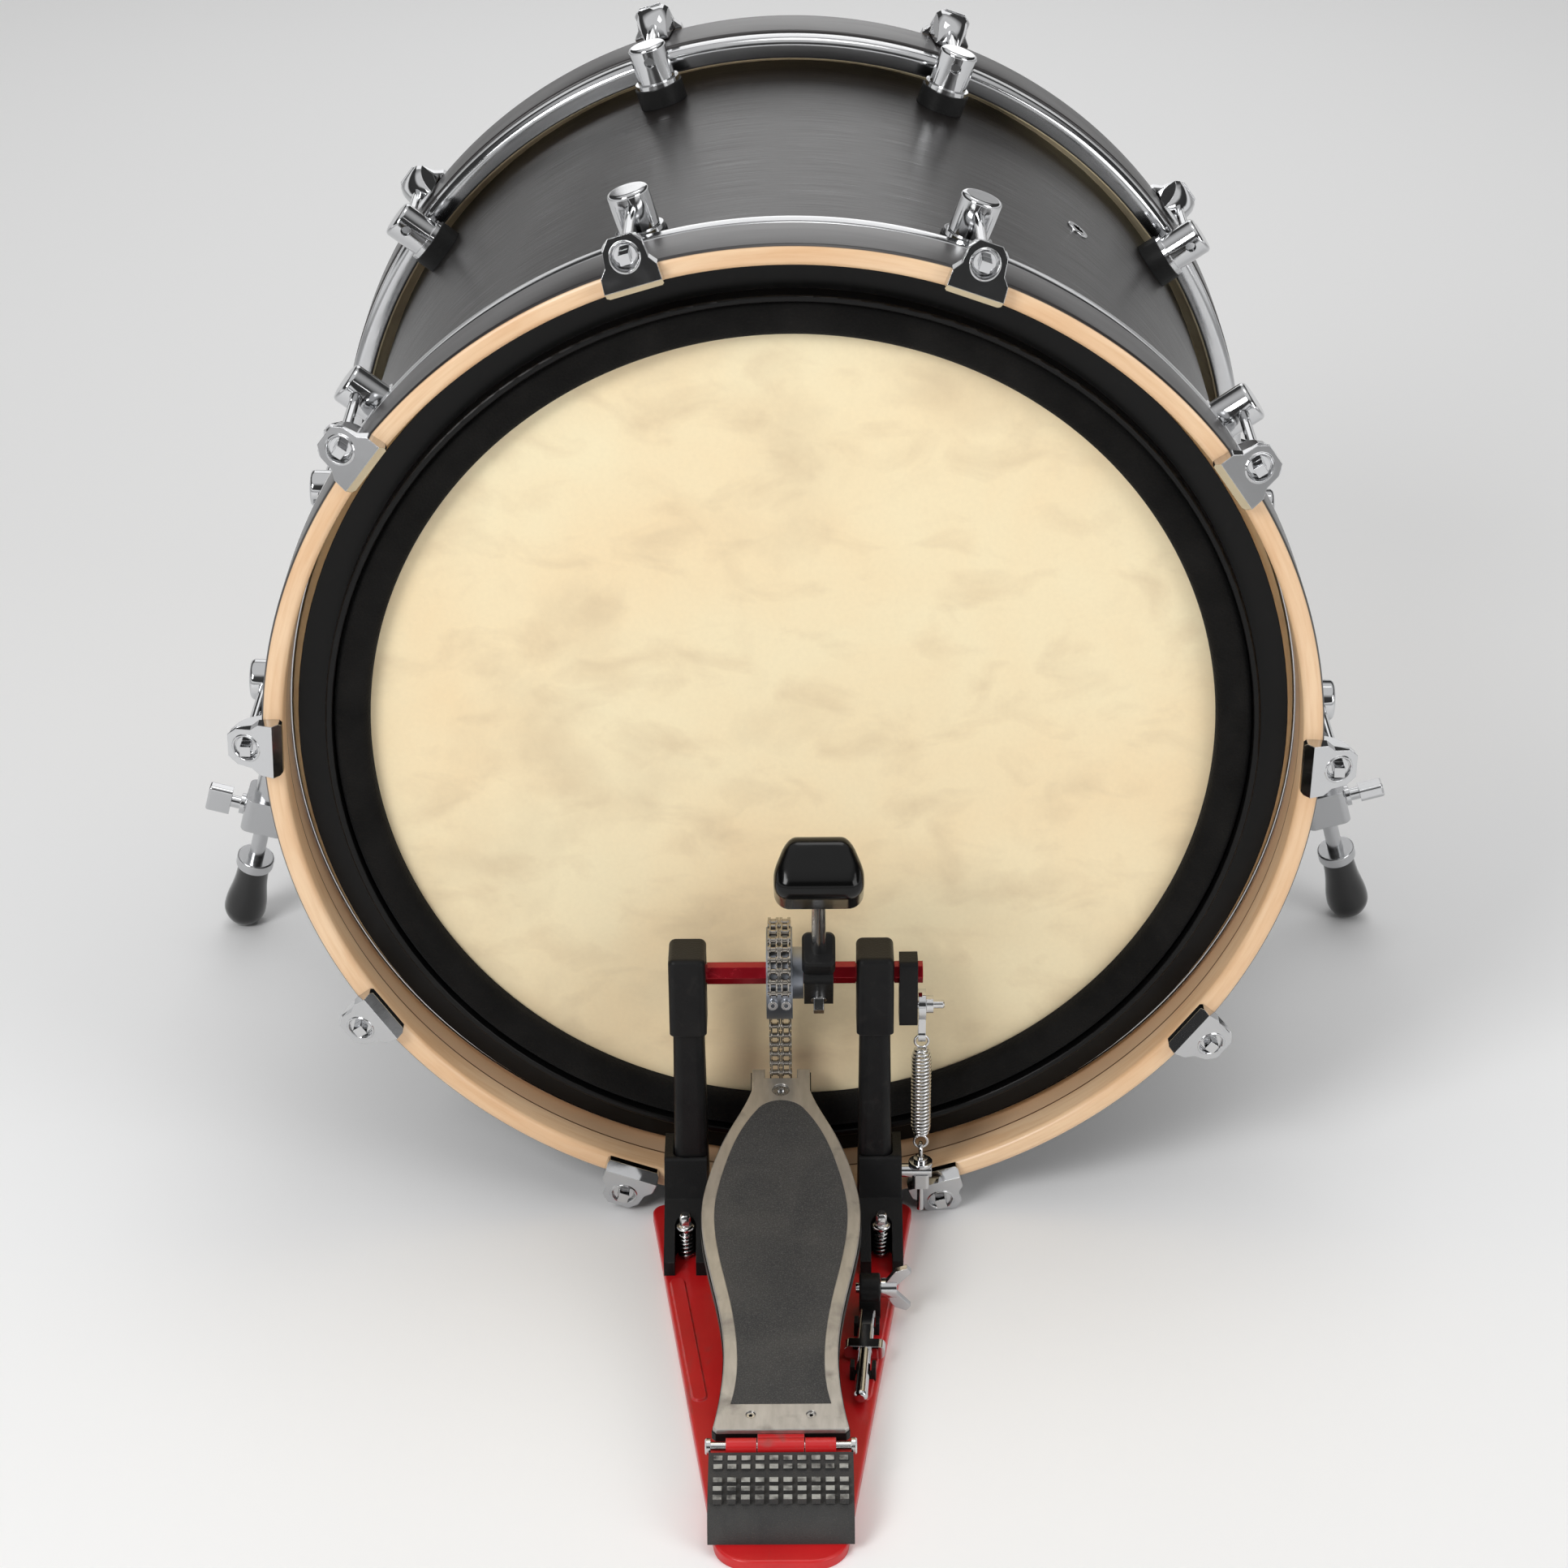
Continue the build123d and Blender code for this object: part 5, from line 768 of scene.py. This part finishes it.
def sweep(path, radius, sides=10):
    """A round wire along a path, with closed ends."""
    rings = []
    side = None
    for k, place in enumerate(path):
        along = (path[min(k + 1, len(path) - 1)] - path[max(k - 1, 0)]).normalized()
        if side is None:
            side = along.orthogonal().normalized()
        side = (side - along * side.dot(along)).normalized()
        across = along.cross(side)
        turns = [2 * pi * n / sides for n in range(sides)]
        rings.append([place + (side * cos(turn) + across * sin(turn)) * radius for turn in turns])
    return loft(rings)


def join(shapes):
    """Several (points, faces) as one."""
    points, faces = [], []
    for some, their in shapes:
        start = len(points)
        points += some
        faces += [tuple(start + n for n in face) for face in their]
    return points, faces


# %% [markdown]
# ### Claws
# A claw's face leans back from a crest near the hoop's inner edge, so claws above the drum's middle
# mirror the dark room over the player and those below mirror the pale floor. Inside the crest is a
# narrow bevelled lip, and round the rod's square head is a pocket with a raised rim. One claw is made
# as (out, along, across): its distance from the drum's axis, how far it stands in front of the hoop's
# face, and its place across its own middle.

# %% How far a claw's face stands out
CREST_PROUD = 10.5 * MM
LIP_SLOPE = 1.15
FACE_SLOPE = 0.364
crest = hoop_r - 7.5 * MM


def claw_height(radius):
    """How far the claw's face stands in front of the hoop's, at a distance from the drum's axis."""
    if radius < crest:
        return CREST_PROUD - (crest - radius) * LIP_SLOPE
    return CREST_PROUD - (radius - crest) * FACE_SLOPE


print("claw:", CREST_PROUD, "m out at its crest,", round(claw_height(hoop_r), 4), "at the hoop's edge")

# %% A claw's outline and its pocket
ROD_RADIUS = 308 * MM
POCKET_R = 7.0 * MM
POCKET_STEPS = 36
# half the outline in mm, as (past the hoop's edge, across), from the inner end to the outer end
HALF_OUTLINE = [
    (-12.4, 14.6), (-10.9, 16.0), (-7.5, 16.0), (0.5, 15.6), (5.0, 12.0), (13.6, 10.9), (18.8, 6.6),
]
half_outline = [(hoop_r + r * MM, w * MM) for r, w in HALF_OUTLINE]
outline = [(r, -w) for r, w in half_outline] + [(r, w) for r, w in reversed(half_outline)]
pocket_turns = [2 * pi * k / POCKET_STEPS for k in range(POCKET_STEPS)]
pocket = [(ROD_RADIUS + POCKET_R * cos(turn), POCKET_R * sin(turn)) for turn in pocket_turns]
print("claw outline:", len(outline), "points, pocket:", len(pocket))

# %% The claw's plate, with the pocket let into its face
SEAT_GAP = 0.05 * MM
POCKET_FLOOR = 8 * SEAT_GAP
count = len(outline)
claw_points = [(r, claw_height(r), w) for r, w in outline] + [(r, SEAT_GAP, w) for r, w in outline]
claw_faces = between(0, count, count)
claw_faces.append(tuple(range(count, 2 * count)))
# the lip is the part of the outline inside the crest, and the face is the rest of it
claw_faces.append((0, 1, 2, count - 3, count - 2, count - 1))
face_loop = list(range(2, count - 2))
pocket_at = len(claw_points)
floor_at = pocket_at + POCKET_STEPS
claw_points += [(r, claw_height(r), w) for r, w in pocket] + [(r, POCKET_FLOOR, w) for r, w in pocket]
cap = tessellate_polygon([
    [Vector((outline[k][0], outline[k][1], 0)) for k in face_loop],
    [Vector((r, w, 0)) for r, w in pocket],
])
numbering = face_loop + list(range(pocket_at, floor_at))
claw_faces += [tuple(numbering[k] for k in triangle) for triangle in cap]
claw_faces += between(pocket_at, floor_at, POCKET_STEPS)
claw_faces.append(tuple(range(floor_at, floor_at + POCKET_STEPS)))
print("claw plate:", len(claw_faces), "faces")

# %% The tail that goes back over the hoop
TAIL_STEPS = 8
TAIL_START = 0.6 * MM
TAIL_LENGTH = 23.3 * MM
TAIL_EDGE = 3.5 * MM
END_TOP, TAIL_RISE, RISE_POWER = 3.2, 14.6, 0.55
HALF_AT_FRONT, HALF_AT_END = 11.4, 7.6
roof = hoop_r + 1.0 * MM
tail_rings = []
for k in range(TAIL_STEPS + 1):
    t = k / TAIL_STEPS
    along = TAIL_START - t * TAIL_LENGTH
    top = hoop_r + (END_TOP + TAIL_RISE * (1 - t * t) ** RISE_POWER) * MM
    half = (HALF_AT_FRONT * (1 - t) + HALF_AT_END * t) * MM
    step = min(TAIL_EDGE, (top - roof) * 0.6)
    half_ring = [
        (roof, half), (top - step, half), (top - step * 0.3, half - 0.6 * step), (top, half - 1.3 * step),
    ]
    tail_rings.append(
        [(r, along, -w) for r, w in half_ring] + [(r, along, w) for r, w in reversed(half_ring)]
    )
print("tail:", len(tail_rings), "sections over", TAIL_LENGTH, "m")

# %% The rim round the pocket, and one whole claw
RIM_WIRE = 0.75 * MM
RIM_STEPS = 40
rim_r = POCKET_R + 0.6 * MM
rim_turns = [2 * pi * k / RIM_STEPS for k in range(RIM_STEPS + 1)]
rim_path = [Vector((ROD_RADIUS + rim_r * cos(turn), 0, rim_r * sin(turn))) for turn in rim_turns]
for spot in rim_path:
    spot.y = claw_height(spot.x)
one_claw = join([(claw_points, claw_faces), loft(tail_rings), sweep(rim_path, RIM_WIRE, sides=8)])
print("one claw:", len(one_claw[1]), "faces")

# %% Twenty claws
LUG_COUNT = 10
LUG_ROLL = radians(1.7)


def at_station(point, angle, side):
    """A claw's (out, along, across) at one of its stations, in the frame. side is -1 at the batter end."""
    out, along, across = point
    return Vector((
        out * sin(angle) - side * across * cos(angle),
        drum_middle.y + side * (hoop_face + along),
        drum_middle.z + out * cos(angle) + side * across * sin(angle),
    ))


all_claws = []
for side, k in product((-1, 1), range(LUG_COUNT)):
    angle = LUG_ROLL + (k + 0.5) * 2 * pi / LUG_COUNT
    all_claws.append(([at_station(p, angle, side) for p in one_claw[0]], one_claw[1]))
points, faces = join(all_claws)
add_piece("cast_claws", points, faces, chrome, "drum", ["claws"], corner=25.0, bevel=0.5 * MM)
print("claws:", len(all_claws), "faces:", len(faces))

# %% [markdown]
# ### The beater
# A moulded block with large rounded edges. Seen from above it narrows towards its striking face. It is
# a rounded box: each point of a cube is pulled in to an inner box and pushed out again by one radius.

# %% Where the beater is, and its size
BEATER_LENGTH = 142 * MM
BEATER_LEAN = radians(40)
HEAD_TIP = radians(50.5)
EDGE_R = 8.5 * MM
HEAD_SHIFT = 4.3 * MM
TAPER_FROM, TAPER_SIDES, TAPER_ENDS = 0.35, 0.25, 0.08
half_size = Vector((24.4, 21.8, 17.2)) * MM
pivot = Vector((middle("beater_rod").x, shaft_middle.y, shaft_middle.z))
head_centre = pivot + BEATER_LENGTH * Vector((0, -sin(BEATER_LEAN), cos(BEATER_LEAN)))
head_up = Vector((0, -sin(HEAD_TIP), cos(HEAD_TIP)))
head_front = Vector((0, cos(HEAD_TIP), sin(HEAD_TIP)))
print("beater centre", [round(c, 4) for c in head_centre])


# %% Rounded, tapered block
def beater_point(cube):
    """A point of the unit cube's skin, carried to the beater's rounded skin."""
    wanted = Vector([c * h for c, h in zip(cube, half_size)])
    inner = Vector([max(-(h - EDGE_R), min(h - EDGE_R, w)) for w, h in zip(wanted, half_size)])
    round_off = wanted - inner
    if round_off.length > 0:
        round_off = round_off.normalized() * EDGE_R
    skin = inner + round_off
    towards = (skin.z / half_size.z + 1) / 2
    ease = max(0.0, (towards - TAPER_FROM) / (1 - TAPER_FROM))
    ease = ease * ease * (3 - 2 * ease)
    return (
        head_centre
        + Vector((1, 0, 0)) * skin.x * (1 - TAPER_SIDES * ease)
        + head_up * skin.y * (1 - TAPER_ENDS * ease)
        + head_front * (skin.z + HEAD_SHIFT)
    )


GRID = 20
points, faces, found = [], [], {}


def grid_point(axis, way, a, b):
    """The number of one grid point of a cube's side, which is made when it is first asked for."""
    cube = [0.0, 0.0, 0.0]
    cube[axis] = way
    cube[(axis + 1) % 3] = 2 * a / GRID - 1
    cube[(axis + 2) % 3] = 2 * b / GRID - 1
    key = tuple(round(c, 4) for c in cube)
    if key not in found:
        found[key] = len(points)
        points.append(beater_point(cube))
    return found[key]


for axis, way, i, j in product(range(3), (-1, 1), range(GRID), range(GRID)):
    square = ((i, j), (i + 1, j), (i + 1, j + 1), (i, j + 1))
    faces.append(tuple(grid_point(axis, way, a, b) for a, b in square))
add_piece("beater_block", points, faces, beater_gloss, "beater", ["beater_head"],
          corner=60.0)
print("beater points:", len(points))

# %% [markdown]
# ### The double roller chain
# Two strands side by side, 6.35 mm between pins. Narrow links and wide links alternate: a narrow link's
# plates hug the rollers, a wide link's stand outside them, and every pin runs through both strands.

# %% A chain's measures
PITCH = 6.35 * MM
STRANDS = (-3.35 * MM, 3.35 * MM)
PLATE_HALF, PLATE_WAIST, PLATE_THICK = 2.5 * MM, 1.65 * MM, 0.75 * MM
NARROW_AT, WIDE_AT = 1.85 * MM, 2.75 * MM
PIN_R, PIN_HALF, PIN_EASE = 0.95 * MM, 6.7 * MM, 0.25 * MM
ROLLER_R, ROLLER_END_R, ROLLER_HALF, ROLLER_EASE = 1.65 * MM, 1.5 * MM, 1.45 * MM, 0.2 * MM
# a turned shape's closed end stops this many mm short of the axis, so that no two points meet
NEAR_AXIS = 0.001
chain_x = middle("chain_run").x
print("chain is", 2 * PIN_HALF, "m across, at x", round(chain_x, 4))

# %% The plates of a link
# each end of a plate goes round this many degrees to either side
END_TURN, END_STEPS = 112, 8


def plate_outline():
    """Round ends about both pins, joined by a waist."""
    shape = []
    for way in (-1, 1):
        for k in range(END_STEPS + 1):
            turn = radians(-END_TURN + 2 * END_TURN * k / END_STEPS)
            shape.append((way * (PITCH / 2 + PLATE_HALF * cos(turn)), way * PLATE_HALF * sin(turn)))
        shape.append((0, way * PLATE_WAIST))
    return shape


def link(start, end, wide):
    """The plates of one link, between two pins given as (y, z)."""
    along = Vector((0, end[0] - start[0], end[1] - start[1])).normalized()
    out = Vector((1, 0, 0)).cross(along)
    centre = Vector((0, (start[0] + end[0]) / 2, (start[1] + end[1]) / 2))
    plates = []
    for strand, way in product(STRANDS, (-1, 1)):
        x = chain_x + strand + way * (WIDE_AT if wide else NARROW_AT)
        plates.append(loft([
            [centre + along * a + out * b + Vector((x + t, 0, 0)) for a, b in plate_outline()]
            for t in (-PLATE_THICK / 2, PLATE_THICK / 2)
        ]))
    return plates


# %% Pins and rollers
def pin(place):
    """One pin through both strands, with a roller on each."""
    def about(r, a, turn):
        return Vector((chain_x + a, place[0] + r * cos(turn), place[1] + r * sin(turn)))

    half_pin = [(PIN_R, PIN_HALF - PIN_EASE), (0.7 * PIN_R, PIN_HALF), (NEAR_AXIS * MM, PIN_HALF)]
    made = [lathe([(r, -a) for r, a in reversed(half_pin)] + half_pin, about, steps=12)]
    for strand in STRANDS:
        inner, outer = strand - ROLLER_HALF, strand + ROLLER_HALF
        made.append(lathe([
            (PIN_R, inner), (ROLLER_END_R, inner), (ROLLER_R, inner + ROLLER_EASE),
            (ROLLER_R, outer - ROLLER_EASE), (ROLLER_END_R, outer), (PIN_R, outer),
        ], about, steps=14))
    return made


def chain(places, pinned, first_wide):
    """Links between places, narrow and wide by turns, with a pin at each of the pinned ones."""
    shapes = [shape for place in pinned for shape in pin(place)]
    for k in range(len(places) - 1):
        shapes += link(places[k], places[k + 1], wide=(k % 2 == 0) == first_wide)
    return join(shapes)


# %% The chain round the wheel
PITCH_R = 29.5 * MM
ARC_LINKS = 12
FIRST_PIN = radians(50.5 / 2)
step = 2 * asin(PITCH / 2 / PITCH_R)
arc_turns = [FIRST_PIN + k * step for k in range(ARC_LINKS + 1)]
arc_pins = [(shaft_middle.y + PITCH_R * cos(t), shaft_middle.z + PITCH_R * sin(t)) for t in arc_turns]
points, faces = chain(arc_pins, arc_pins[1:], first_wide=True)
add_piece("wheel_chain", points, faces, chain_steel, "drive", ["sprocket_chain"])
print("links round the wheel:", ARC_LINKS)

# %% The chain that hangs from the wheel to the footboard
run_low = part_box("chain_run")[0].z
run_links = int((arc_pins[0][1] - run_low) / PITCH)
run_pins = [(arc_pins[0][0], arc_pins[0][1] - k * PITCH) for k in range(run_links + 1)]
points, faces = chain(run_pins, run_pins, first_wide=False)
add_piece("hanging_chain", points, faces, chain_steel, "chain", ["chain_run"])
print("links that hang:", run_links)

# %% [markdown]
# ### Springs
# The pedal's spring is one wire: a close coil whose last turns draw in, with a round loop at each end.
# It stretches between its link and its lower eye, and rides on neither of the bodies at its two ends.
# Two short coils stand on the anchor screws.

# %% The pedal's coil
WIRE = 0.8 * MM
LOOP_R = 4.0 * MM
COIL_R = 6.0 * MM - WIRE
COIL_TURNS = 25
COIL_STEPS = 16
DRAWN_IN, DRAWN_TURNS, DRAWN_POWER = 0.62, 2.5, 0.7
spring_low, spring_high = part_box("spring")
spring_x, spring_y = (spring_low.x + spring_high.x) / 2, (spring_low.y + spring_high.y) / 2
coil_low = spring_low.z + 2 * LOOP_R + 2 * WIRE
coil_high = spring_high.z - 2 * LOOP_R - 2 * WIRE
path = []
for k in range(COIL_TURNS * COIL_STEPS + 1):
    t = k / (COIL_TURNS * COIL_STEPS)
    from_end = min(t, 1 - t) * COIL_TURNS
    radius = COIL_R * (DRAWN_IN + (1 - DRAWN_IN) * min(1.0, from_end / DRAWN_TURNS) ** DRAWN_POWER)
    angle = 2 * pi * COIL_TURNS * t
    path.append(Vector((spring_x + radius * cos(angle), spring_y + radius * sin(angle),
                        coil_low + (coil_high - coil_low) * t)))
print("coil:", COIL_TURNS, "turns over", round(coil_high - coil_low, 4), "m")

# %% Its end loops
LOOP_STEPS = 24
LOOP_PART = 0.96


def end_loop(z, way):
    """Points from the coil's end, round one loop. way is 1 at the top."""
    start = COIL_R * DRAWN_IN
    bend = [
        Vector((spring_x + start * s, spring_y, z + way * WIRE * h)) for s, h in ((0.8, 0.5), (0.4, 0.9))
    ]
    loop_z = z + way * (LOOP_R + WIRE)
    ring = [
        Vector((spring_x - LOOP_R * sin(a), spring_y, loop_z - way * LOOP_R * cos(a)))
        for a in [2 * pi * LOOP_PART * k / LOOP_STEPS for k in range(LOOP_STEPS + 1)]
    ]
    return bend + ring


path = list(reversed(end_loop(coil_low, -1))) + path + end_loop(coil_high, 1)
points, faces = sweep(path, WIRE, sides=8)
mesh_spring = add_piece("coil_spring", points, faces, zinc, None, ["spring"], corner=60.0)
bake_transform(mesh_spring)
print("spring points:", len(points))

# %% Measures of an anchor screw, in mm from its foot
SHANK = [
    (NEAR_AXIS, 0.05), (2.9, 0.05), (2.9, 18.6), (4.6, 18.9), (5.5, 20.0), (5.5, 21.2), (4.9, 22.0),
    (3.6, 22.4), (3.6, 23.2), (NEAR_AXIS, 23.2),
]
# the square head's sections, as (height, half its width, how much each corner is cut)
HEAD = [(23.0, 3.1, 1.0), (28.6, 3.1, 1.0), (29.6, 2.3, 0.8)]
SCREW_COIL_R, SCREW_COIL_FOOT, SCREW_COIL_RISE, SCREW_COIL_WIRE = 4.0, 1.0, 16.8, 0.75
SCREW_COIL_TURNS, SCREW_COIL_STEPS = 6.5, 14
NUT_R = 5.6 * MM
screw_low, screw_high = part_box("anchor_screws")
screw_y = (screw_low.y + screw_high.y) / 2
print("anchor screws are", round(screw_high.x - screw_low.x - 2 * NUT_R, 4), "m apart")


# %% The sprung anchor screws
def cut_square(half, cut):
    """A square with its corners cut off, as eight points."""
    return [(half, half - cut), (half - cut, half), (-half + cut, half), (-half, half - cut),
            (-half, -half + cut), (-half + cut, -half), (half - cut, -half), (half, -half + cut)]


def sprung_screw(screw_x):
    """Shank with its collar, square head, and the coil round the shank, for one screw."""
    def on_screw(a, b, height):
        return Vector((screw_x + a * MM, screw_y + b * MM, screw_low.z + height * MM))

    def upright(r, a, turn):
        return Vector((screw_x + r * cos(turn), screw_y + r * sin(turn), screw_low.z + a))

    coil = []
    for k in range(int(SCREW_COIL_TURNS * SCREW_COIL_STEPS) + 1):
        turn = 2 * pi * k / SCREW_COIL_STEPS
        rise = SCREW_COIL_FOOT + SCREW_COIL_RISE * k / (SCREW_COIL_TURNS * SCREW_COIL_STEPS)
        coil.append(upright(SCREW_COIL_R * MM, rise * MM, turn))
    return [
        lathe([(r * MM, a * MM) for r, a in SHANK], upright, steps=28),
        loft([[on_screw(a, b, height) for a, b in cut_square(half, cut)] for height, half, cut in HEAD]),
        sweep(coil, SCREW_COIL_WIRE * MM, sides=8),
    ]


points, faces = join(sprung_screw(screw_low.x + NUT_R) + sprung_screw(screw_high.x - NUT_R))
add_piece("sprung_screws", points, faces, zinc, "drum", ["anchor_screws"], corner=40.0)
print("anchor screws:", len(faces), "faces")

# %% [markdown]
# ### The foam damping ring
# A crowned pad: full in the middle, drawn in to its edges where it meets the holder, with a skin that
# waves by a fraction of a millimetre as cut foam does.

# %% The pad's section
FOAM_WIDTH = 20.3 * MM
DEPTH_SHARE = 0.985
CROWN_POWER, SIDE_POWER = 0.55, 0.8
SECTION_STEPS = 28
foam_low, foam_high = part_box("damping_foam")
foam_outer = (foam_high.z - foam_low.z) / 2
foam_inner = foam_outer - FOAM_WIDTH
foam_deep = foam_high.y - foam_low.y
foam_middle, foam_half = (foam_outer + foam_inner) / 2, (foam_outer - foam_inner) / 2
profile = []
for k in range(SECTION_STEPS + 1):
    turn = pi * k / SECTION_STEPS
    across = cos(turn)
    crown = abs(sin(turn)) ** CROWN_POWER
    profile.append((foam_middle + foam_half * abs(across) ** SIDE_POWER * (1 if across > 0 else -1), crown))
print("foam:", round(foam_inner, 4), "to", round(foam_outer, 4), "m from the drum's axis")

# %% Crowned foam ring
SLOW_WAVES, SLOW_SWELL = 7, 0.012
FAST_WAVES, FAST_SWELL, FAST_SKEW = 23, 0.008, 90
RING_STEPS = 220


def on_foam(r, crown, turn):
    """A point of the pad. Its front swells and sinks a little round the ring."""
    wave = 1 + SLOW_SWELL * sin(SLOW_WAVES * turn) + FAST_SWELL * sin(FAST_WAVES * turn + r * FAST_SKEW)
    depth = foam_deep * DEPTH_SHARE * crown * min(1.0, wave)
    return Vector((r * cos(turn), foam_high.y - depth, drum_middle.z + r * sin(turn)))


points, faces = lathe(profile, on_foam, RING_STEPS)
foam_ring = add_piece("foam_ring", points, faces, foam, "drum", ["damping_foam"], corner=70.0)
print("foam faces:", len(faces))

# %% [markdown]
# ### Turned rings
# The wooden hoops and the bright metal hoops behind them are turned finely: a coarse mesh would break
# the long highlights, and the line where the hoops' dark finish ends, into steps.

# %% A ring's section, and how it goes round the drum
TURNED_STEPS = 300
EASE_STEPS = 6


def turned_ring(outer, face, wall, width, eases):
    """Section of a ring, with its corners eased: outer face, inner face, inner back, outer back."""
    corners = ((outer, face), (outer - wall, face), (outer - wall, face - width), (outer, face - width))
    ways = ((-1, -1), (1, -1), (1, 1), (-1, 1))
    section = []
    for quarter, ((r, along), (way_r, way_a), ease) in enumerate(zip(corners, ways, eases)):
        for k in range(EASE_STEPS + 1):
            turn = (quarter + k / EASE_STEPS) * pi / 2
            section.append((r + way_r * ease + ease * cos(turn), along + way_a * ease + ease * sin(turn)))
    return section


def round_the_axis(side):
    """A place function for lathe, round the drum's axis. side is -1 on the player's side."""
    return lambda r, along, turn: drum_middle + Vector((r * sin(turn), side * along, r * cos(turn)))


# %% Wooden hoops
HOOP_WALL = 12.0 * MM
HOOP_EASES = (4.0 * MM, 4.0 * MM, 1.6 * MM, 1.6 * MM)
wood = turned_ring(hoop_r, hoop_face, HOOP_WALL, HOOP_WIDTH, HOOP_EASES)
for side, name in ((-1, "batter"), (1, "front")):
    points, faces = lathe(wood, round_the_axis(side), TURNED_STEPS)
    add_piece(f"turned_{name}_hoop", points, faces, maple, "drum", [f"{name}_hoop"], corner=70.0)
print("wooden hoops:", round(2 * hoop_r, 4), "m across")

# %% Bright bands behind them
BAND_WALL, BAND_WIDTH = 13.0 * MM, 17.0 * MM
BAND_EASES = (5.0 * MM, 1.6 * MM, 1.6 * MM, 5.0 * MM)
band_low, band_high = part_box("flesh_hoops")
band_r = (band_high.x - band_low.x) / 2
metal = turned_ring(band_r, band_high.y - drum_middle.y, BAND_WALL, BAND_WIDTH, BAND_EASES)
points, faces = join([lathe(metal, round_the_axis(side), TURNED_STEPS) for side in (-1, 1)])
add_piece("bright_bands", points, faces, tarnished, "drum", ["flesh_hoops"], corner=70.0)
print("bright bands:", round(2 * band_r, 4), "m across")
